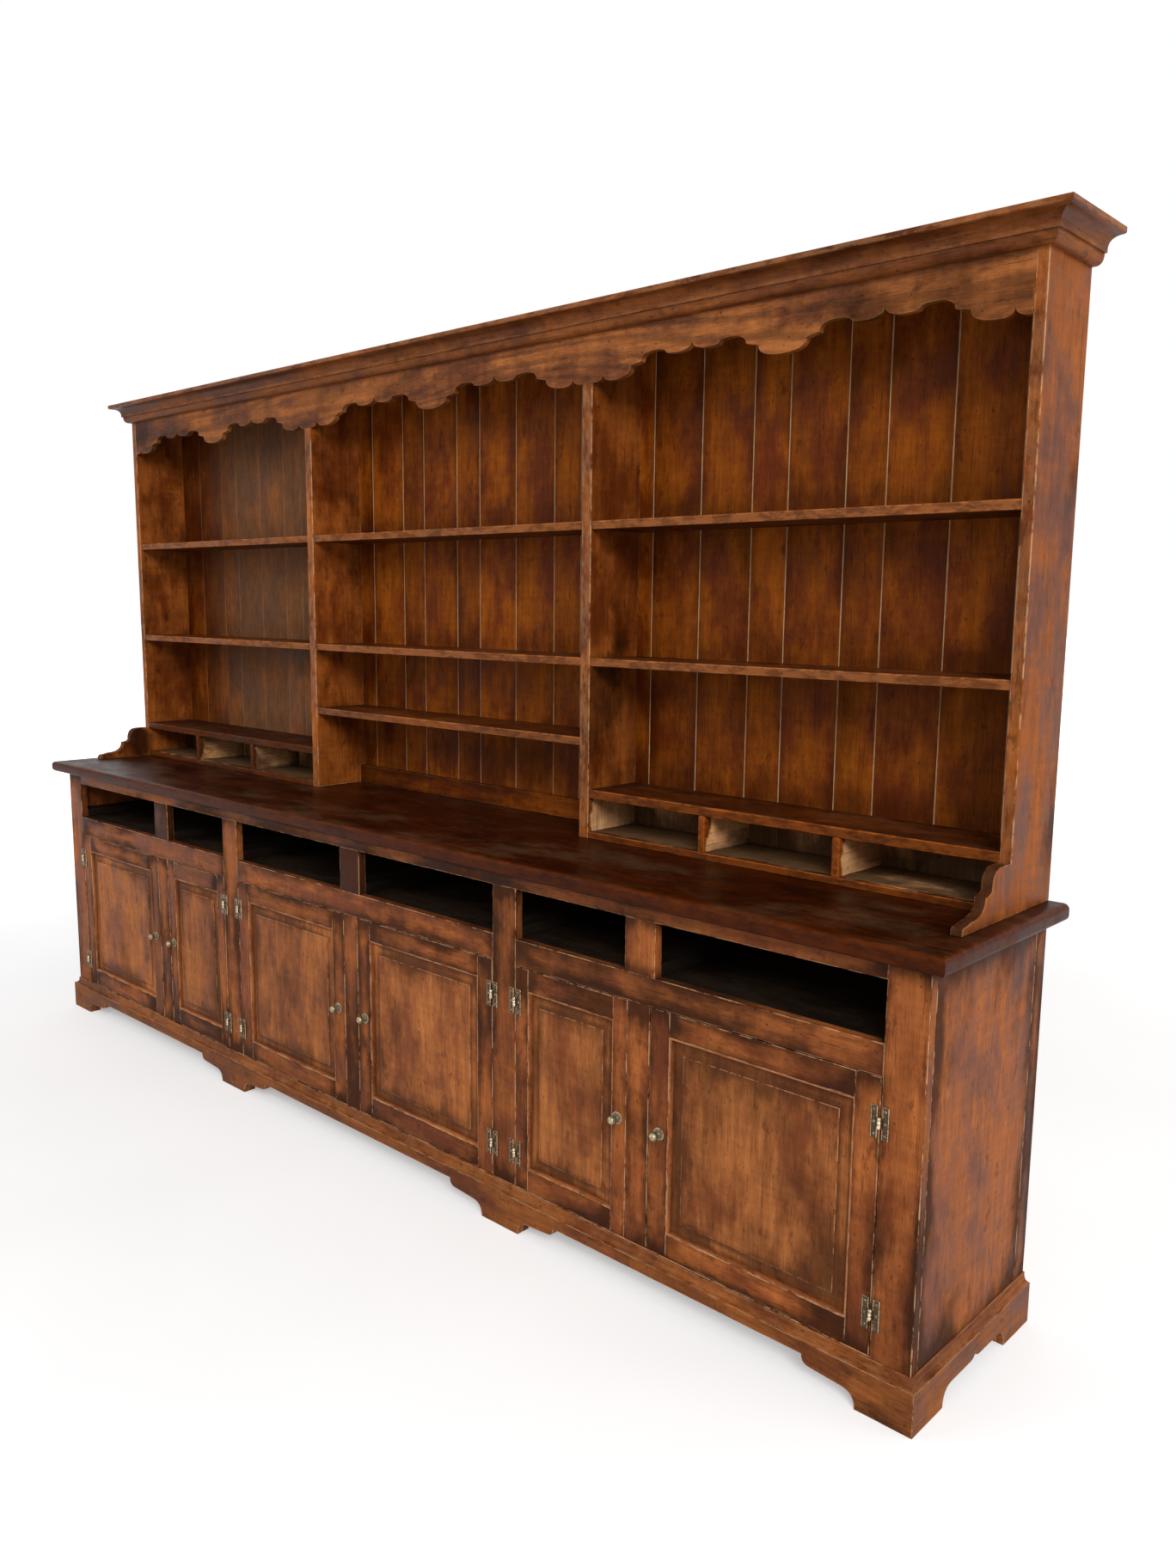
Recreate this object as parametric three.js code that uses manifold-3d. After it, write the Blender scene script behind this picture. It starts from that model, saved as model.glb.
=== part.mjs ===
// A long Welsh dresser: a low cupboard base with six doors under six open drawer
// spaces, and a tall plate rack that stands on its worktop.
// Millimetres, +Z up, the front faces -Y, the origin is on the floor under the middle.

import * as THREE from "three";
import { mergeVertices } from "three/addons/utils/BufferGeometryUtils.js";
import Module from "manifold-3d";

const wasm = await Module();
wasm.setup();

// Overall sizes
const baseWidth = 3324;
const baseDepth = 483;
const worktopHeight = 900;
const overallHeight = 2155;

// Joints and cutters
const seam = 0.3; // hairline left at every joint, shared by the two pieces that meet
const overrun = 5; // how far a cutter passes the face that it cuts

// Worktop
const worktopThickness = 35;
const worktopOverhang = 42; // past the front and past both ends
const worktopNose = 12; // radius of the rounded edge

// Plinth
const plinthHeight = 86; // the square part
const plinthMouldingHeight = 20; // the moulded edge above it
const plinthProjection = 16; // in front of the carcase
const plinthLedge = 22; // the part that runs under the carcase
const plinthFillet = 3; // square lip above and below the moulded curve
const plinthLap = 16; // how far the square part laps over the foot of the carcase
const cornerFootLength = 102; // flat of a corner foot, from the carcase corner
const rearFootLength = 117;
const middleFootLength = 125;
const footShoulderRun = 34; // from the flat of a foot to its shoulder
const footShoulderRise = 34;
const footLobeRun = 96; // from the flat of a foot to the start of its small lobe
const footLobeRise = 38;
const footLobeWidth = 22;
const railRise = 58; // underside of the rail between the feet
const sideNotchRise = 53; // point of the small notch in the middle of each end
const sideNotchWidth = 46;

// Face frame
const frameThickness = 22;
const cornerStileWidth = 84;
const hingePostWidth = 77;
const outerMuntinWidth = 82; // between the two drawer spaces of an outer bay
const centreMuntinWidth = 84;
const outerPostWidth = 60; // between the two doors of an outer bay
const centrePostWidth = 58;
const wideDrawerWidth = 528;
const narrowDrawerWidth = 333;
const topRailHeight = 37;
const drawerOpeningHeight = 118;
const middleRailHeight = 62;
const sillReveal = 2; // of the bottom rail, above the plinth

// Carcase behind the face frame
const carcaseBoard = 22;
const bottomBoardThickness = 20;
const deckThickness = 18;
const drawerGuideHeight = 25;
const endJointInset = 47; // from the back edge to the glue joint in each end
const backBoardThickness = 12;
const wideBackBoard = 147;
const narrowBackBoard = 97;
const leastBackBoard = 60;
const backPatternStart = -491; // a board joint left of the middle
const backGrooveWidth = 4;
const backGrooveDepth = 3;

// Doors
const doorThickness = 22;
const doorGap = 2;
const wideDoorStile = 58;
const narrowDoorStile = 46;
const doorRailHeight = 58;
const doorMouldingWidth = 6;
const panelThickness = 9;
const panelRecess = 8; // from the front of the door to the margin of its panel
const panelMargin = 27; // from the frame to the raised field of the panel
const panelFieldRise = 3;
const panelTongue = 8; // how far the panel enters the frame
const panelPlay = 1; // room for the panel to swell at its edges

// H hinges
const hingeHeight = 62;
const hingeLeafWidth = 13;
const hingeLeafThickness = 2;
const hingeLeafSpacing = 10; // between the two leaves of a hinge
const hingeBarrelRadius = 4;
const hingeBarrelHeight = 22;
const hingeInset = 83; // from the end of a door to the middle of its hinge
const hingeBarrelSides = 12;

// Door knobs, as radii and heights above the door
const knobRoseRadius = 14;
const knobRoseHeight = 3;
const knobFootRadius = 9; // where the neck springs from the rose
const knobNeckRadius = 4.5;
const knobNeckHeight = 11;
const knobBallRadius = 10;
const knobHeight = 27;
const knobSides = 18;

// Plate rack
const rackDepth = 190;
const rackEndThickness = 24;
const dividerThickness = 30;
const dividerOffset = 572; // from the middle of the rack to the middle of a divider
const topBoardThickness = 18;
const bracketReach = 188; // how far the foot of a rack end comes forward
const bracketHeight = 103;

// Shelves. Two levels share the open height between the pigeonholes and the frieze, and
// the low shelf of the middle bay has its own height above the worktop.
const shelfThickness = 20;
const shelfSetBack = 2;
const upperShelfShare = 0.6725;
const middleShelfShare = 0.3345;
const lowShelfHeight = 248;
const skirtingHeight = 56;
const skirtingThickness = 18;

// Pigeonholes
const pigeonholeHeight = 122; // over the shelf that covers them
const pigeonholeTopThickness = 22;
const pigeonholeFloorThickness = 16;
const pigeonholeDividerThickness = 18;
const pigeonholesPerBay = 3;

// Frieze and cornice
const friezeThickness = 18;
const friezeDrop = 153; // from the top board to the tip of a pendant
const friezeRise = 58; // from the tip of a pendant to the point between two lobes
const corniceHeight = 60;
const corniceProjection = 58;

// The foot of a rack end, as shares of its reach and of its height
const bracketShares = {
  shoulder: 0.21,
  shoulderEnd: [0.39, 0.6],
  step: [0.52, 0.53],
  sweep: [0.82, 0.19],
  toe: [0.94, 0.15],
};

// The scalloped edge of the frieze. A half arcade runs from a pendant to the point
// between its two small lobes: shares of that run, with shares of the rise.
const arcadesPerBay = 2;
const arcadeShares = {
  step: [0.25, 0.42],
  stepEnd: [0.38, 0.53],
  archTop: [0.56, 0.87],
  lobe: [0.81, 0.65],
};
const edgeLobeShare = 0.888; // the last pendant of a bay, from its middle
const edgeCuspShare = 0.937; // the point beyond it
const edgeCuspRiseShare = 0.33;

// The cornice profile, as shares of its projection and of its height
const corniceShares = {
  foot: 0.08,
  ovolo: [0.36, 0.34],
  fillet: [0.44, 0.42],
  cove: [0.93, 0.8],
  nose: 0.84,
};

// The ball of a knob, as shares of its radius
const ballMiddleShare = 0.8; // below the top of the knob
const ballCheekShare = 0.6;
const ballShoulderShare = 0.75;

// Facets of round stretches
const curveSegments = 5;

// Places that follow from the sizes
const backY = (baseDepth + worktopOverhang) / 2;
const faceY = backY - baseDepth;
const insideY = faceY + frameThickness;
const backBoardY = backY - backBoardThickness;
const halfBase = baseWidth / 2;
const halfInside = halfBase - carcaseBoard;
const carcaseTop = worktopHeight - worktopThickness;
const plinthTop = plinthHeight + plinthMouldingHeight;
const carcaseUnderside = plinthHeight - plinthLap;

const bayOuterX = halfBase - cornerStileWidth;
const postOuterX = bayOuterX - wideDrawerWidth - outerMuntinWidth - narrowDrawerWidth;
const postInnerX = postOuterX - hingePostWidth;
const hingePostX = (postOuterX + postInnerX) / 2;
const muntinX = postOuterX + narrowDrawerWidth + outerMuntinWidth / 2;

const drawerTop = carcaseTop - topRailHeight;
const drawerFloor = drawerTop - drawerOpeningHeight;
const doorTop = drawerFloor - middleRailHeight;
const doorBottom = plinthTop + sillReveal;

const rackFrontY = backY - rackDepth;
const rackHeight = overallHeight - worktopHeight;
const rackSideHeight = rackHeight - topBoardThickness;
const openRackHeight = rackSideHeight - friezeDrop - pigeonholeHeight;
const upperShelfHeight = pigeonholeHeight + openRackHeight * upperShelfShare;
const middleShelfHeight = pigeonholeHeight + openRackHeight * middleShelfShare;
const halfRackInside = halfBase - rackEndThickness;
const dividerInnerX = dividerOffset - dividerThickness / 2;
const dividerOuterX = dividerOffset + dividerThickness / 2;

// The drawer spaces of one half of the front, from the middle outwards
const drawerSpans = [
  [centreMuntinWidth / 2, postInnerX],
  [postOuterX, muntinX - outerMuntinWidth / 2],
  [muntinX + outerMuntinWidth / 2, bayOuterX],
];

// The doors of one half of the front, from the middle outwards
const doorKinds = [
  {
    name: "centre",
    span: [centrePostWidth / 2, postInnerX],
    hingedOutside: true,
    stile: wideDoorStile,
  },
  {
    name: "narrow",
    span: [postOuterX, muntinX - outerPostWidth / 2],
    hingedOutside: false,
    stile: narrowDoorStile,
  },
  {
    name: "wide",
    span: [muntinX + outerPostWidth / 2, bayOuterX],
    hingedOutside: true,
    stile: wideDoorStile,
  },
];

const sides = [
  { name: "left", sign: -1 },
  { name: "right", sign: 1 },
];

// Finishes

function waxedWood() {
  return new THREE.MeshStandardMaterial({ color: 0x6a3716, roughness: 0.45, metalness: 0 });
}

function darkWorktopWood() {
  return new THREE.MeshStandardMaterial({ color: 0x45210f, roughness: 0.4, metalness: 0 });
}

function backBoardWood() {
  return new THREE.MeshStandardMaterial({ color: 0x5d3011, roughness: 0.55, metalness: 0 });
}

function paleWood() {
  return new THREE.MeshStandardMaterial({ color: 0x8c7857, roughness: 0.8, metalness: 0 });
}

function agedBrass() {
  return new THREE.MeshStandardMaterial({ color: 0x8d7a4c, roughness: 0.4, metalness: 1 });
}

// Making and joining solids

function piece(name, geometry, material) {
  const mesh = new THREE.Mesh(geometry, material);
  mesh.name = name;
  return mesh;
}

// The exact block between six faces.
function block([x0, x1], [y0, y1], [z0, z1]) {
  const geometry = new THREE.BoxGeometry(x1 - x0, y1 - y0, z1 - z0);
  return geometry.translate((x0 + x1) / 2, (y0 + y1) / 2, (z0 + z1) / 2);
}

// A board between six faces. It gives up half a seam on every face.
function board(...faces) {
  const trimmed = faces.map(([from, to]) => [from + seam / 2, to - seam / 2]);
  return block(...trimmed);
}

// A shape drawn in x and z, extruded from y0 to y1 less half a seam at both ends.
function extrudeAlongY(shape, [y0, y1]) {
  const geometry = new THREE.ExtrudeGeometry(shape, {
    depth: y1 - y0 - seam,
    bevelEnabled: false,
    curveSegments,
  });
  return geometry.rotateX(Math.PI / 2).translate(0, y1 - seam / 2, 0);
}

// A shape drawn in y and z, extruded from x0 to x1 less half a seam at both ends.
function extrudeAlongX(shape, [x0, x1]) {
  const geometry = new THREE.ExtrudeGeometry(shape, {
    depth: x1 - x0 - seam,
    bevelEnabled: false,
    curveSegments,
  });
  return geometry
    .rotateX(Math.PI / 2)
    .rotateZ(Math.PI / 2)
    .translate(x0 + seam / 2, 0, 0);
}

// A shape drawn in x and y, extruded from z0 to z1 less half a seam at both ends.
function extrudeAlongZ(shape, [z0, z1]) {
  const geometry = new THREE.ExtrudeGeometry(shape, {
    depth: z1 - z0 - seam,
    bevelEnabled: false,
    curveSegments,
  });
  return geometry.translate(0, 0, z0 + seam / 2);
}

// Carries a moulding profile, drawn in projection and height, past the given corners.
// Each corner is a function from projection to [x, y], so the run turns in a true mitre.
// The corners are listed clockwise as seen from above.
function runMoulding(profile, corners) {
  const spans = corners.length - 1;
  const geometry = new THREE.ExtrudeGeometry(profile, {
    depth: spans,
    steps: spans,
    bevelEnabled: false,
    curveSegments,
  });
  const position = geometry.getAttribute("position");
  for (let i = 0; i < position.count; i += 1) {
    const [x, y] = corners[Math.round(position.getZ(i))](position.getX(i));
    position.setXYZ(i, x, y, position.getY(i));
  }
  return geometry;
}

function toSolid(geometry) {
  const bare = geometry.clone();
  bare.deleteAttribute("normal");
  bare.deleteAttribute("uv");
  const merged = mergeVertices(bare);
  const vertProperties = merged.getAttribute("position").array;
  const triVerts = new Uint32Array(merged.index.array);
  return new wasm.Manifold(new wasm.Mesh({ numProp: 3, vertProperties, triVerts }));
}

function toGeometry(solid) {
  const { vertProperties, triVerts } = solid.getMesh();
  const geometry = new THREE.BufferGeometry();
  geometry.setAttribute("position", new THREE.BufferAttribute(vertProperties, 3));
  geometry.setIndex(new THREE.BufferAttribute(triVerts, 1));
  geometry.computeVertexNormals();
  return geometry;
}

function cut(geometry, ...cutters) {
  let solid = toSolid(geometry);
  for (const cutter of cutters) {
    solid = solid.subtract(toSolid(cutter));
  }
  return toGeometry(solid);
}

function join(geometry, ...others) {
  let solid = toSolid(geometry);
  for (const other of others) {
    solid = solid.add(toSolid(other));
  }
  return toGeometry(solid);
}

function rectangle(target, [u0, u1], [v0, v1]) {
  target.moveTo(u0, v0);
  target.lineTo(u1, v0);
  target.lineTo(u1, v1);
  target.lineTo(u0, v1);
  target.closePath();
  return target;
}

// Worktop: one thick board with a rounded edge on the front and both ends

function worktop() {
  const halfWidth = halfBase + worktopOverhang;
  const plan = rectangle(
    new THREE.Shape(),
    [-halfWidth + worktopNose, halfWidth - worktopNose],
    [faceY - worktopOverhang + worktopNose, backY + overrun],
  );
  const slab = new THREE.ExtrudeGeometry(plan, {
    depth: worktopThickness - seam - 2 * worktopNose,
    bevelEnabled: true,
    bevelThickness: worktopNose,
    bevelSize: worktopNose,
    bevelSegments: curveSegments,
  });
  slab.translate(0, 0, carcaseTop + seam / 2 + worktopNose);
  const behind = block(
    [-halfWidth - overrun, halfWidth + overrun],
    [backY, backY + worktopNose + 2 * overrun],
    [carcaseTop - overrun, worktopHeight + overrun],
  );
  return piece("worktop", cut(slab, behind), darkWorktopWood());
}

// Plinth: rebated boards that the carcase stands on, moulded on top and cut into feet

function plinthProfile() {
  const profile = new THREE.Shape();
  profile.moveTo(-plinthLedge, 0);
  profile.lineTo(plinthProjection, 0);
  profile.lineTo(plinthProjection, plinthHeight);
  profile.lineTo(plinthProjection - plinthFillet, plinthHeight);
  profile.quadraticCurveTo(plinthFillet, plinthHeight, plinthFillet, plinthTop - plinthFillet);
  profile.lineTo(plinthFillet, plinthTop);
  profile.lineTo(seam, plinthTop);
  profile.lineTo(seam, carcaseUnderside - seam);
  profile.lineTo(-plinthLedge, carcaseUnderside - seam);
  profile.closePath();
  return profile;
}

// Draws one side of a foot, from its flat at the given place up to the rail.
function footCurve(outline, edge, direction) {
  const at = (run) => edge + direction * run;
  outline.lineTo(at(0), 0);
  outline.quadraticCurveTo(at(0), footShoulderRise, at(footShoulderRun), footShoulderRise);
  outline.lineTo(at(footLobeRun), footLobeRise);
  outline.quadraticCurveTo(
    at(footLobeRun + footLobeWidth),
    footLobeRise,
    at(footLobeRun + footLobeWidth),
    railRise,
  );
}

// Draws the same side of a foot the other way, from the rail down to the flat.
function footCurveDown(outline, edge, direction) {
  const at = (run) => edge + direction * run;
  outline.lineTo(at(footLobeRun + footLobeWidth), railRise);
  outline.quadraticCurveTo(
    at(footLobeRun + footLobeWidth),
    footLobeRise,
    at(footLobeRun),
    footLobeRise,
  );
  outline.lineTo(at(footShoulderRun), footShoulderRise);
  outline.quadraticCurveTo(at(0), footShoulderRise, at(0), 0);
}

function frontArch(leftFoot, rightFoot) {
  const outline = new THREE.Shape();
  outline.moveTo(leftFoot, -overrun);
  footCurve(outline, leftFoot, 1);
  footCurveDown(outline, rightFoot, -1);
  outline.lineTo(rightFoot, -overrun);
  outline.closePath();
  const depth = [faceY - plinthProjection - overrun, insideY + overrun];
  return extrudeAlongY(outline, depth);
}

function sideArch() {
  const front = faceY + cornerFootLength;
  const rear = backY - rearFootLength;
  const middle = (front + rear) / 2;
  const notch = sideNotchWidth / 2;
  const outline = new THREE.Shape();
  outline.moveTo(front, -overrun);
  outline.lineTo(front, 0);
  outline.quadraticCurveTo(front, footLobeRise, front + footShoulderRun, footLobeRise);
  outline.lineTo(middle - notch, footLobeRise);
  outline.quadraticCurveTo(middle, footLobeRise, middle, sideNotchRise);
  outline.quadraticCurveTo(middle, footLobeRise, middle + notch, footLobeRise);
  outline.lineTo(rear - footShoulderRun, footLobeRise);
  outline.quadraticCurveTo(rear, footLobeRise, rear, 0);
  outline.lineTo(rear, -overrun);
  outline.closePath();
  return extrudeAlongX(outline, [
    halfBase - plinthLedge - overrun,
    halfBase + plinthProjection + overrun,
  ]);
}

function plinthFront() {
  const run = runMoulding(plinthProfile(), [
    (out) => [halfBase + out, faceY - out],
    (out) => [-halfBase - out, faceY - out],
  ]);
  const footEdge = halfBase - cornerFootLength;
  const middleFoot = middleFootLength / 2;
  const arches = [
    frontArch(-footEdge, -hingePostX - middleFoot),
    frontArch(-hingePostX + middleFoot, hingePostX - middleFoot),
    frontArch(hingePostX + middleFoot, footEdge),
  ];
  return piece("plinth_front", cut(run, ...arches), waxedWood());
}

function plinthSide({ name, sign }) {
  const run = runMoulding(plinthProfile(), [
    (out) => [halfBase + out, backY - seam / 2],
    (out) => [halfBase + out, faceY - out + seam],
  ]);
  const mesh = piece(`plinth_${name}`, cut(run, sideArch()), waxedWood());
  mesh.scale.x = sign;
  return mesh;
}

// Face frame: stiles, rails, muntins and posts tenoned together into one lattice

function faceFrame() {
  const blank = board([-halfBase, halfBase], [faceY, insideY], [carcaseUnderside, carcaseTop]);
  const through = [faceY - overrun, insideY + overrun];
  const openings = [];
  for (const { sign } of sides) {
    const across = (span) => span.map((x) => sign * x).sort((a, b) => a - b);
    for (const span of drawerSpans) {
      openings.push(block(across(span), through, [drawerFloor, drawerTop]));
    }
    for (const { span } of doorKinds) {
      openings.push(block(across(span), through, [doorBottom, doorTop]));
    }
  }
  return piece("face_frame", cut(blank, ...openings), waxedWood());
}

// Carcase: two ends, two partitions, the bottom, the deck under the drawers and the back

// An end is two boards edge to edge, and the joint between them shows as a fine groove.
function baseEnd({ name, sign }) {
  const jointY = backY - endJointInset;
  const halfGroove = backGrooveWidth / 2;
  const plan = new THREE.Shape();
  plan.moveTo(halfInside + seam / 2, insideY + seam / 2);
  plan.lineTo(halfBase, insideY + seam / 2);
  plan.lineTo(halfBase, jointY - halfGroove);
  plan.lineTo(halfBase - backGrooveDepth, jointY);
  plan.lineTo(halfBase, jointY + halfGroove);
  plan.lineTo(halfBase, backY);
  plan.lineTo(halfInside + seam / 2, backY);
  plan.closePath();
  const end = extrudeAlongZ(plan, [carcaseUnderside, carcaseTop]);
  const mesh = piece(`base_end_${name}`, end, waxedWood());
  mesh.scale.x = sign;
  return mesh;
}

function basePartition({ name, sign }) {
  const inner = hingePostX - carcaseBoard / 2;
  const partition = board(
    [inner, inner + carcaseBoard],
    [insideY, backBoardY],
    [doorBottom, drawerFloor - deckThickness],
  );
  const mesh = piece(`base_partition_${name}`, partition, backBoardWood());
  mesh.scale.x = sign;
  return mesh;
}

function baseBottom() {
  const bottom = board(
    [-halfInside, halfInside],
    [insideY, backBoardY],
    [doorBottom - bottomBoardThickness, doorBottom],
  );
  return piece("base_bottom_board", bottom, backBoardWood());
}

// The deck carries a raised guide behind every stile, post and muntin of the drawer tier.
function drawerDeck() {
  const guideTop = drawerFloor + drawerGuideHeight;
  const guideEdges = drawerSpans.flat();
  const stops = [...guideEdges].reverse().map((x) => -x);
  const outline = new THREE.Shape();
  outline.moveTo(-halfInside + seam / 2, drawerFloor - deckThickness + seam / 2);
  outline.lineTo(halfInside - seam / 2, drawerFloor - deckThickness + seam / 2);
  outline.lineTo(halfInside - seam / 2, guideTop);
  const steps = [...stops, ...guideEdges].reverse();
  steps.forEach((x, i) => {
    const falling = i % 2 === 0;
    outline.lineTo(x, falling ? guideTop : drawerFloor);
    outline.lineTo(x, falling ? drawerFloor : guideTop);
  });
  outline.lineTo(-halfInside + seam / 2, guideTop);
  outline.closePath();
  return piece("drawer_deck", extrudeAlongY(outline, [insideY, backBoardY]), backBoardWood());
}

// The joints between back boards, which alternate wide and narrow across the piece.
function backBoardJoints(halfWidth) {
  const widths = [
    wideBackBoard,
    narrowBackBoard,
    wideBackBoard,
    narrowBackBoard,
    wideBackBoard,
  ];
  const period = widths.reduce((sum, width) => sum + width, 0);
  const periodsLeft = Math.ceil((backPatternStart + halfWidth) / period);
  const joints = [];
  let x = backPatternStart - periodsLeft * period;
  for (let i = 0; x < halfWidth - leastBackBoard; i += 1) {
    if (x > leastBackBoard - halfWidth) {
      joints.push(x);
    }
    x += widths[i % widths.length];
  }
  return joints;
}

// A back of upright boards: a plan with one V groove at each joint, drawn upwards.
function backBoards(name, halfWidth, height) {
  const front = backBoardY + seam / 2;
  const halfGroove = backGrooveWidth / 2;
  const plan = new THREE.Shape();
  plan.moveTo(-halfWidth + seam / 2, front);
  for (const x of backBoardJoints(halfWidth)) {
    plan.lineTo(x - halfGroove, front);
    plan.lineTo(x, front + backGrooveDepth);
    plan.lineTo(x + halfGroove, front);
  }
  plan.lineTo(halfWidth - seam / 2, front);
  plan.lineTo(halfWidth - seam / 2, backY);
  plan.lineTo(-halfWidth + seam / 2, backY);
  plan.closePath();
  return piece(name, extrudeAlongZ(plan, height), backBoardWood());
}

function buildBase() {
  const base = new THREE.Group();
  base.add(worktop(), faceFrame(), plinthFront());
  base.add(baseBottom(), drawerDeck());
  base.add(backBoards("base_back_boards", halfInside, [carcaseUnderside, carcaseTop]));
  for (const side of sides) {
    base.add(plinthSide(side), baseEnd(side), basePartition(side));
  }
  return base;
}

// Doors: a moulded frame around a fielded panel, hung on two H hinges, with one knob

// Drawn around the middle of the door, from its front face at y = 0 and its foot at z = 0.
function doorFrame(width, height, stile) {
  const halfSight = width / 2 - stile;
  const outline = rectangle(new THREE.Shape(), [-width / 2, width / 2], [0, height]);
  const sight = [
    [-halfSight, halfSight],
    [doorRailHeight, height - doorRailHeight],
  ];
  outline.holes.push(rectangle(new THREE.Path(), ...sight));
  const blank = extrudeAlongY(outline, [0, doorThickness]);

  const groove = block(
    [-halfSight - panelTongue, halfSight + panelTongue],
    [panelRecess - seam / 2, panelRecess + panelThickness + seam / 2],
    [doorRailHeight - panelTongue, height - doorRailHeight + panelTongue],
  );
  const bevel = new THREE.ExtrudeGeometry(rectangle(new THREE.Shape(), ...sight), {
    depth: overrun,
    bevelEnabled: true,
    bevelThickness: doorMouldingWidth,
    bevelSize: doorMouldingWidth,
    bevelSegments: 1,
  });
  bevel.rotateX(Math.PI / 2);
  return cut(blank, groove, bevel);
}

// A panel is a sheet held in the frame's groove, with a chamfered field raised on it.
function doorPanel(width, height, stile) {
  const halfPanel = width / 2 - stile + panelTongue - panelPlay;
  const sheet = board(
    [-halfPanel, halfPanel],
    [panelRecess, panelRecess + panelThickness],
    [doorRailHeight - panelTongue + panelPlay, height - doorRailHeight + panelTongue - panelPlay],
  );
  const halfField = width / 2 - stile - panelMargin;
  const fieldFoot = doorRailHeight + panelMargin;
  const outline = rectangle(
    new THREE.Shape(),
    [-halfField + panelFieldRise, halfField - panelFieldRise],
    [fieldFoot + panelFieldRise, height - fieldFoot - panelFieldRise],
  );
  const sunk = panelThickness / 2;
  const field = new THREE.ExtrudeGeometry(outline, {
    depth: sunk,
    bevelEnabled: true,
    bevelThickness: panelFieldRise,
    bevelSize: panelFieldRise,
    bevelSegments: 1,
  });
  field.rotateX(Math.PI / 2).translate(0, panelRecess + sunk, 0);
  return join(sheet, field);
}

// Turned brass, drawn up its own axis from the door.
function doorKnob() {
  const waist = (knobRoseHeight + knobNeckHeight) / 2;
  const ballMiddle = knobHeight - knobBallRadius * ballMiddleShare;
  const profile = [
    [0, 0],
    [knobRoseRadius, 0],
    [knobRoseRadius, knobRoseHeight / 2],
    [knobFootRadius, knobRoseHeight],
    [knobNeckRadius, waist],
    [knobNeckRadius, knobNeckHeight],
    [knobBallRadius * ballShoulderShare, ballMiddle - knobBallRadius * ballCheekShare],
    [knobBallRadius, ballMiddle],
    [knobBallRadius * ballShoulderShare, ballMiddle + knobBallRadius * ballCheekShare],
    [0, knobHeight],
  ];
  const points = profile.map(([radius, height]) => new THREE.Vector2(radius, height));
  return new THREE.LatheGeometry(points, knobSides);
}

// The leaf on the frame and the barrel, drawn around the pin, with the leaf towards -X.
function frameLeaf() {
  const back = [hingeBarrelRadius - hingeLeafThickness, hingeBarrelRadius];
  const leafEdge = -hingeLeafSpacing / 2;
  const leaf = board(
    [leafEdge - hingeLeafWidth, leafEdge],
    back,
    [-hingeHeight / 2, hingeHeight / 2],
  );
  const tongue = board(
    [leafEdge - hingeLeafWidth / 2, hingeBarrelRadius / 2],
    back,
    [-hingeBarrelHeight / 2, hingeBarrelHeight / 2],
  );
  const barrel = new THREE.CylinderGeometry(
    hingeBarrelRadius,
    hingeBarrelRadius,
    hingeBarrelHeight,
    hingeBarrelSides,
  );
  barrel.rotateX(Math.PI / 2);
  return join(leaf, tongue, barrel);
}

// A door group stands on its hinge pin, at the foot of the door.
function hungDoor({ name: sideName, sign }, { name, span, hingedOutside, stile }) {
  const [inner, outer] = span;
  const width = outer - inner - 2 * doorGap;
  const height = doorTop - doorBottom - 2 * doorGap;
  const hingeEdge = sign * (hingedOutside ? outer : inner);
  const towardsFree = hingedOutside ? -sign : sign;
  const label = `${sideName}_${name}_door`;

  const door = new THREE.Group();
  door.position.set(
    hingeEdge + (towardsFree * doorGap) / 2,
    faceY - seam - hingeBarrelRadius,
    doorBottom + doorGap,
  );
  const doorFace = seam + hingeBarrelRadius;

  const frame = piece(`${label}_frame`, doorFrame(width, height, stile), waxedWood());
  frame.position.set(towardsFree * (width + doorGap) / 2, doorFace, 0);

  const panel = piece(`${label}_panel`, doorPanel(width, height, stile), waxedWood());
  panel.position.copy(frame.position);

  const knob = piece(`${label}_knob`, doorKnob(), agedBrass());
  knob.rotation.x = Math.PI;
  const knobReach = width + doorGap / 2 - stile / 2;
  knob.position.set(towardsFree * knobReach, doorFace - seam, height / 2);

  door.add(frame, panel, knob);
  const hingeHeights = { upper: height - hingeInset, lower: hingeInset };
  for (const [place, hingeZ] of Object.entries(hingeHeights)) {
    const hinge = piece(`${label}_hinge_${place}`, frameLeaf(), agedBrass());
    hinge.rotation.y = towardsFree > 0 ? 0 : Math.PI;
    hinge.position.z = hingeZ;
    door.add(hinge);
  }
  return door;
}

function buildDoors() {
  const doors = new THREE.Group();
  for (const side of sides) {
    for (const kind of doorKinds) {
      doors.add(hungDoor(side, kind));
    }
  }
  return doors;
}

// Plate rack, drawn from the worktop up

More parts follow.
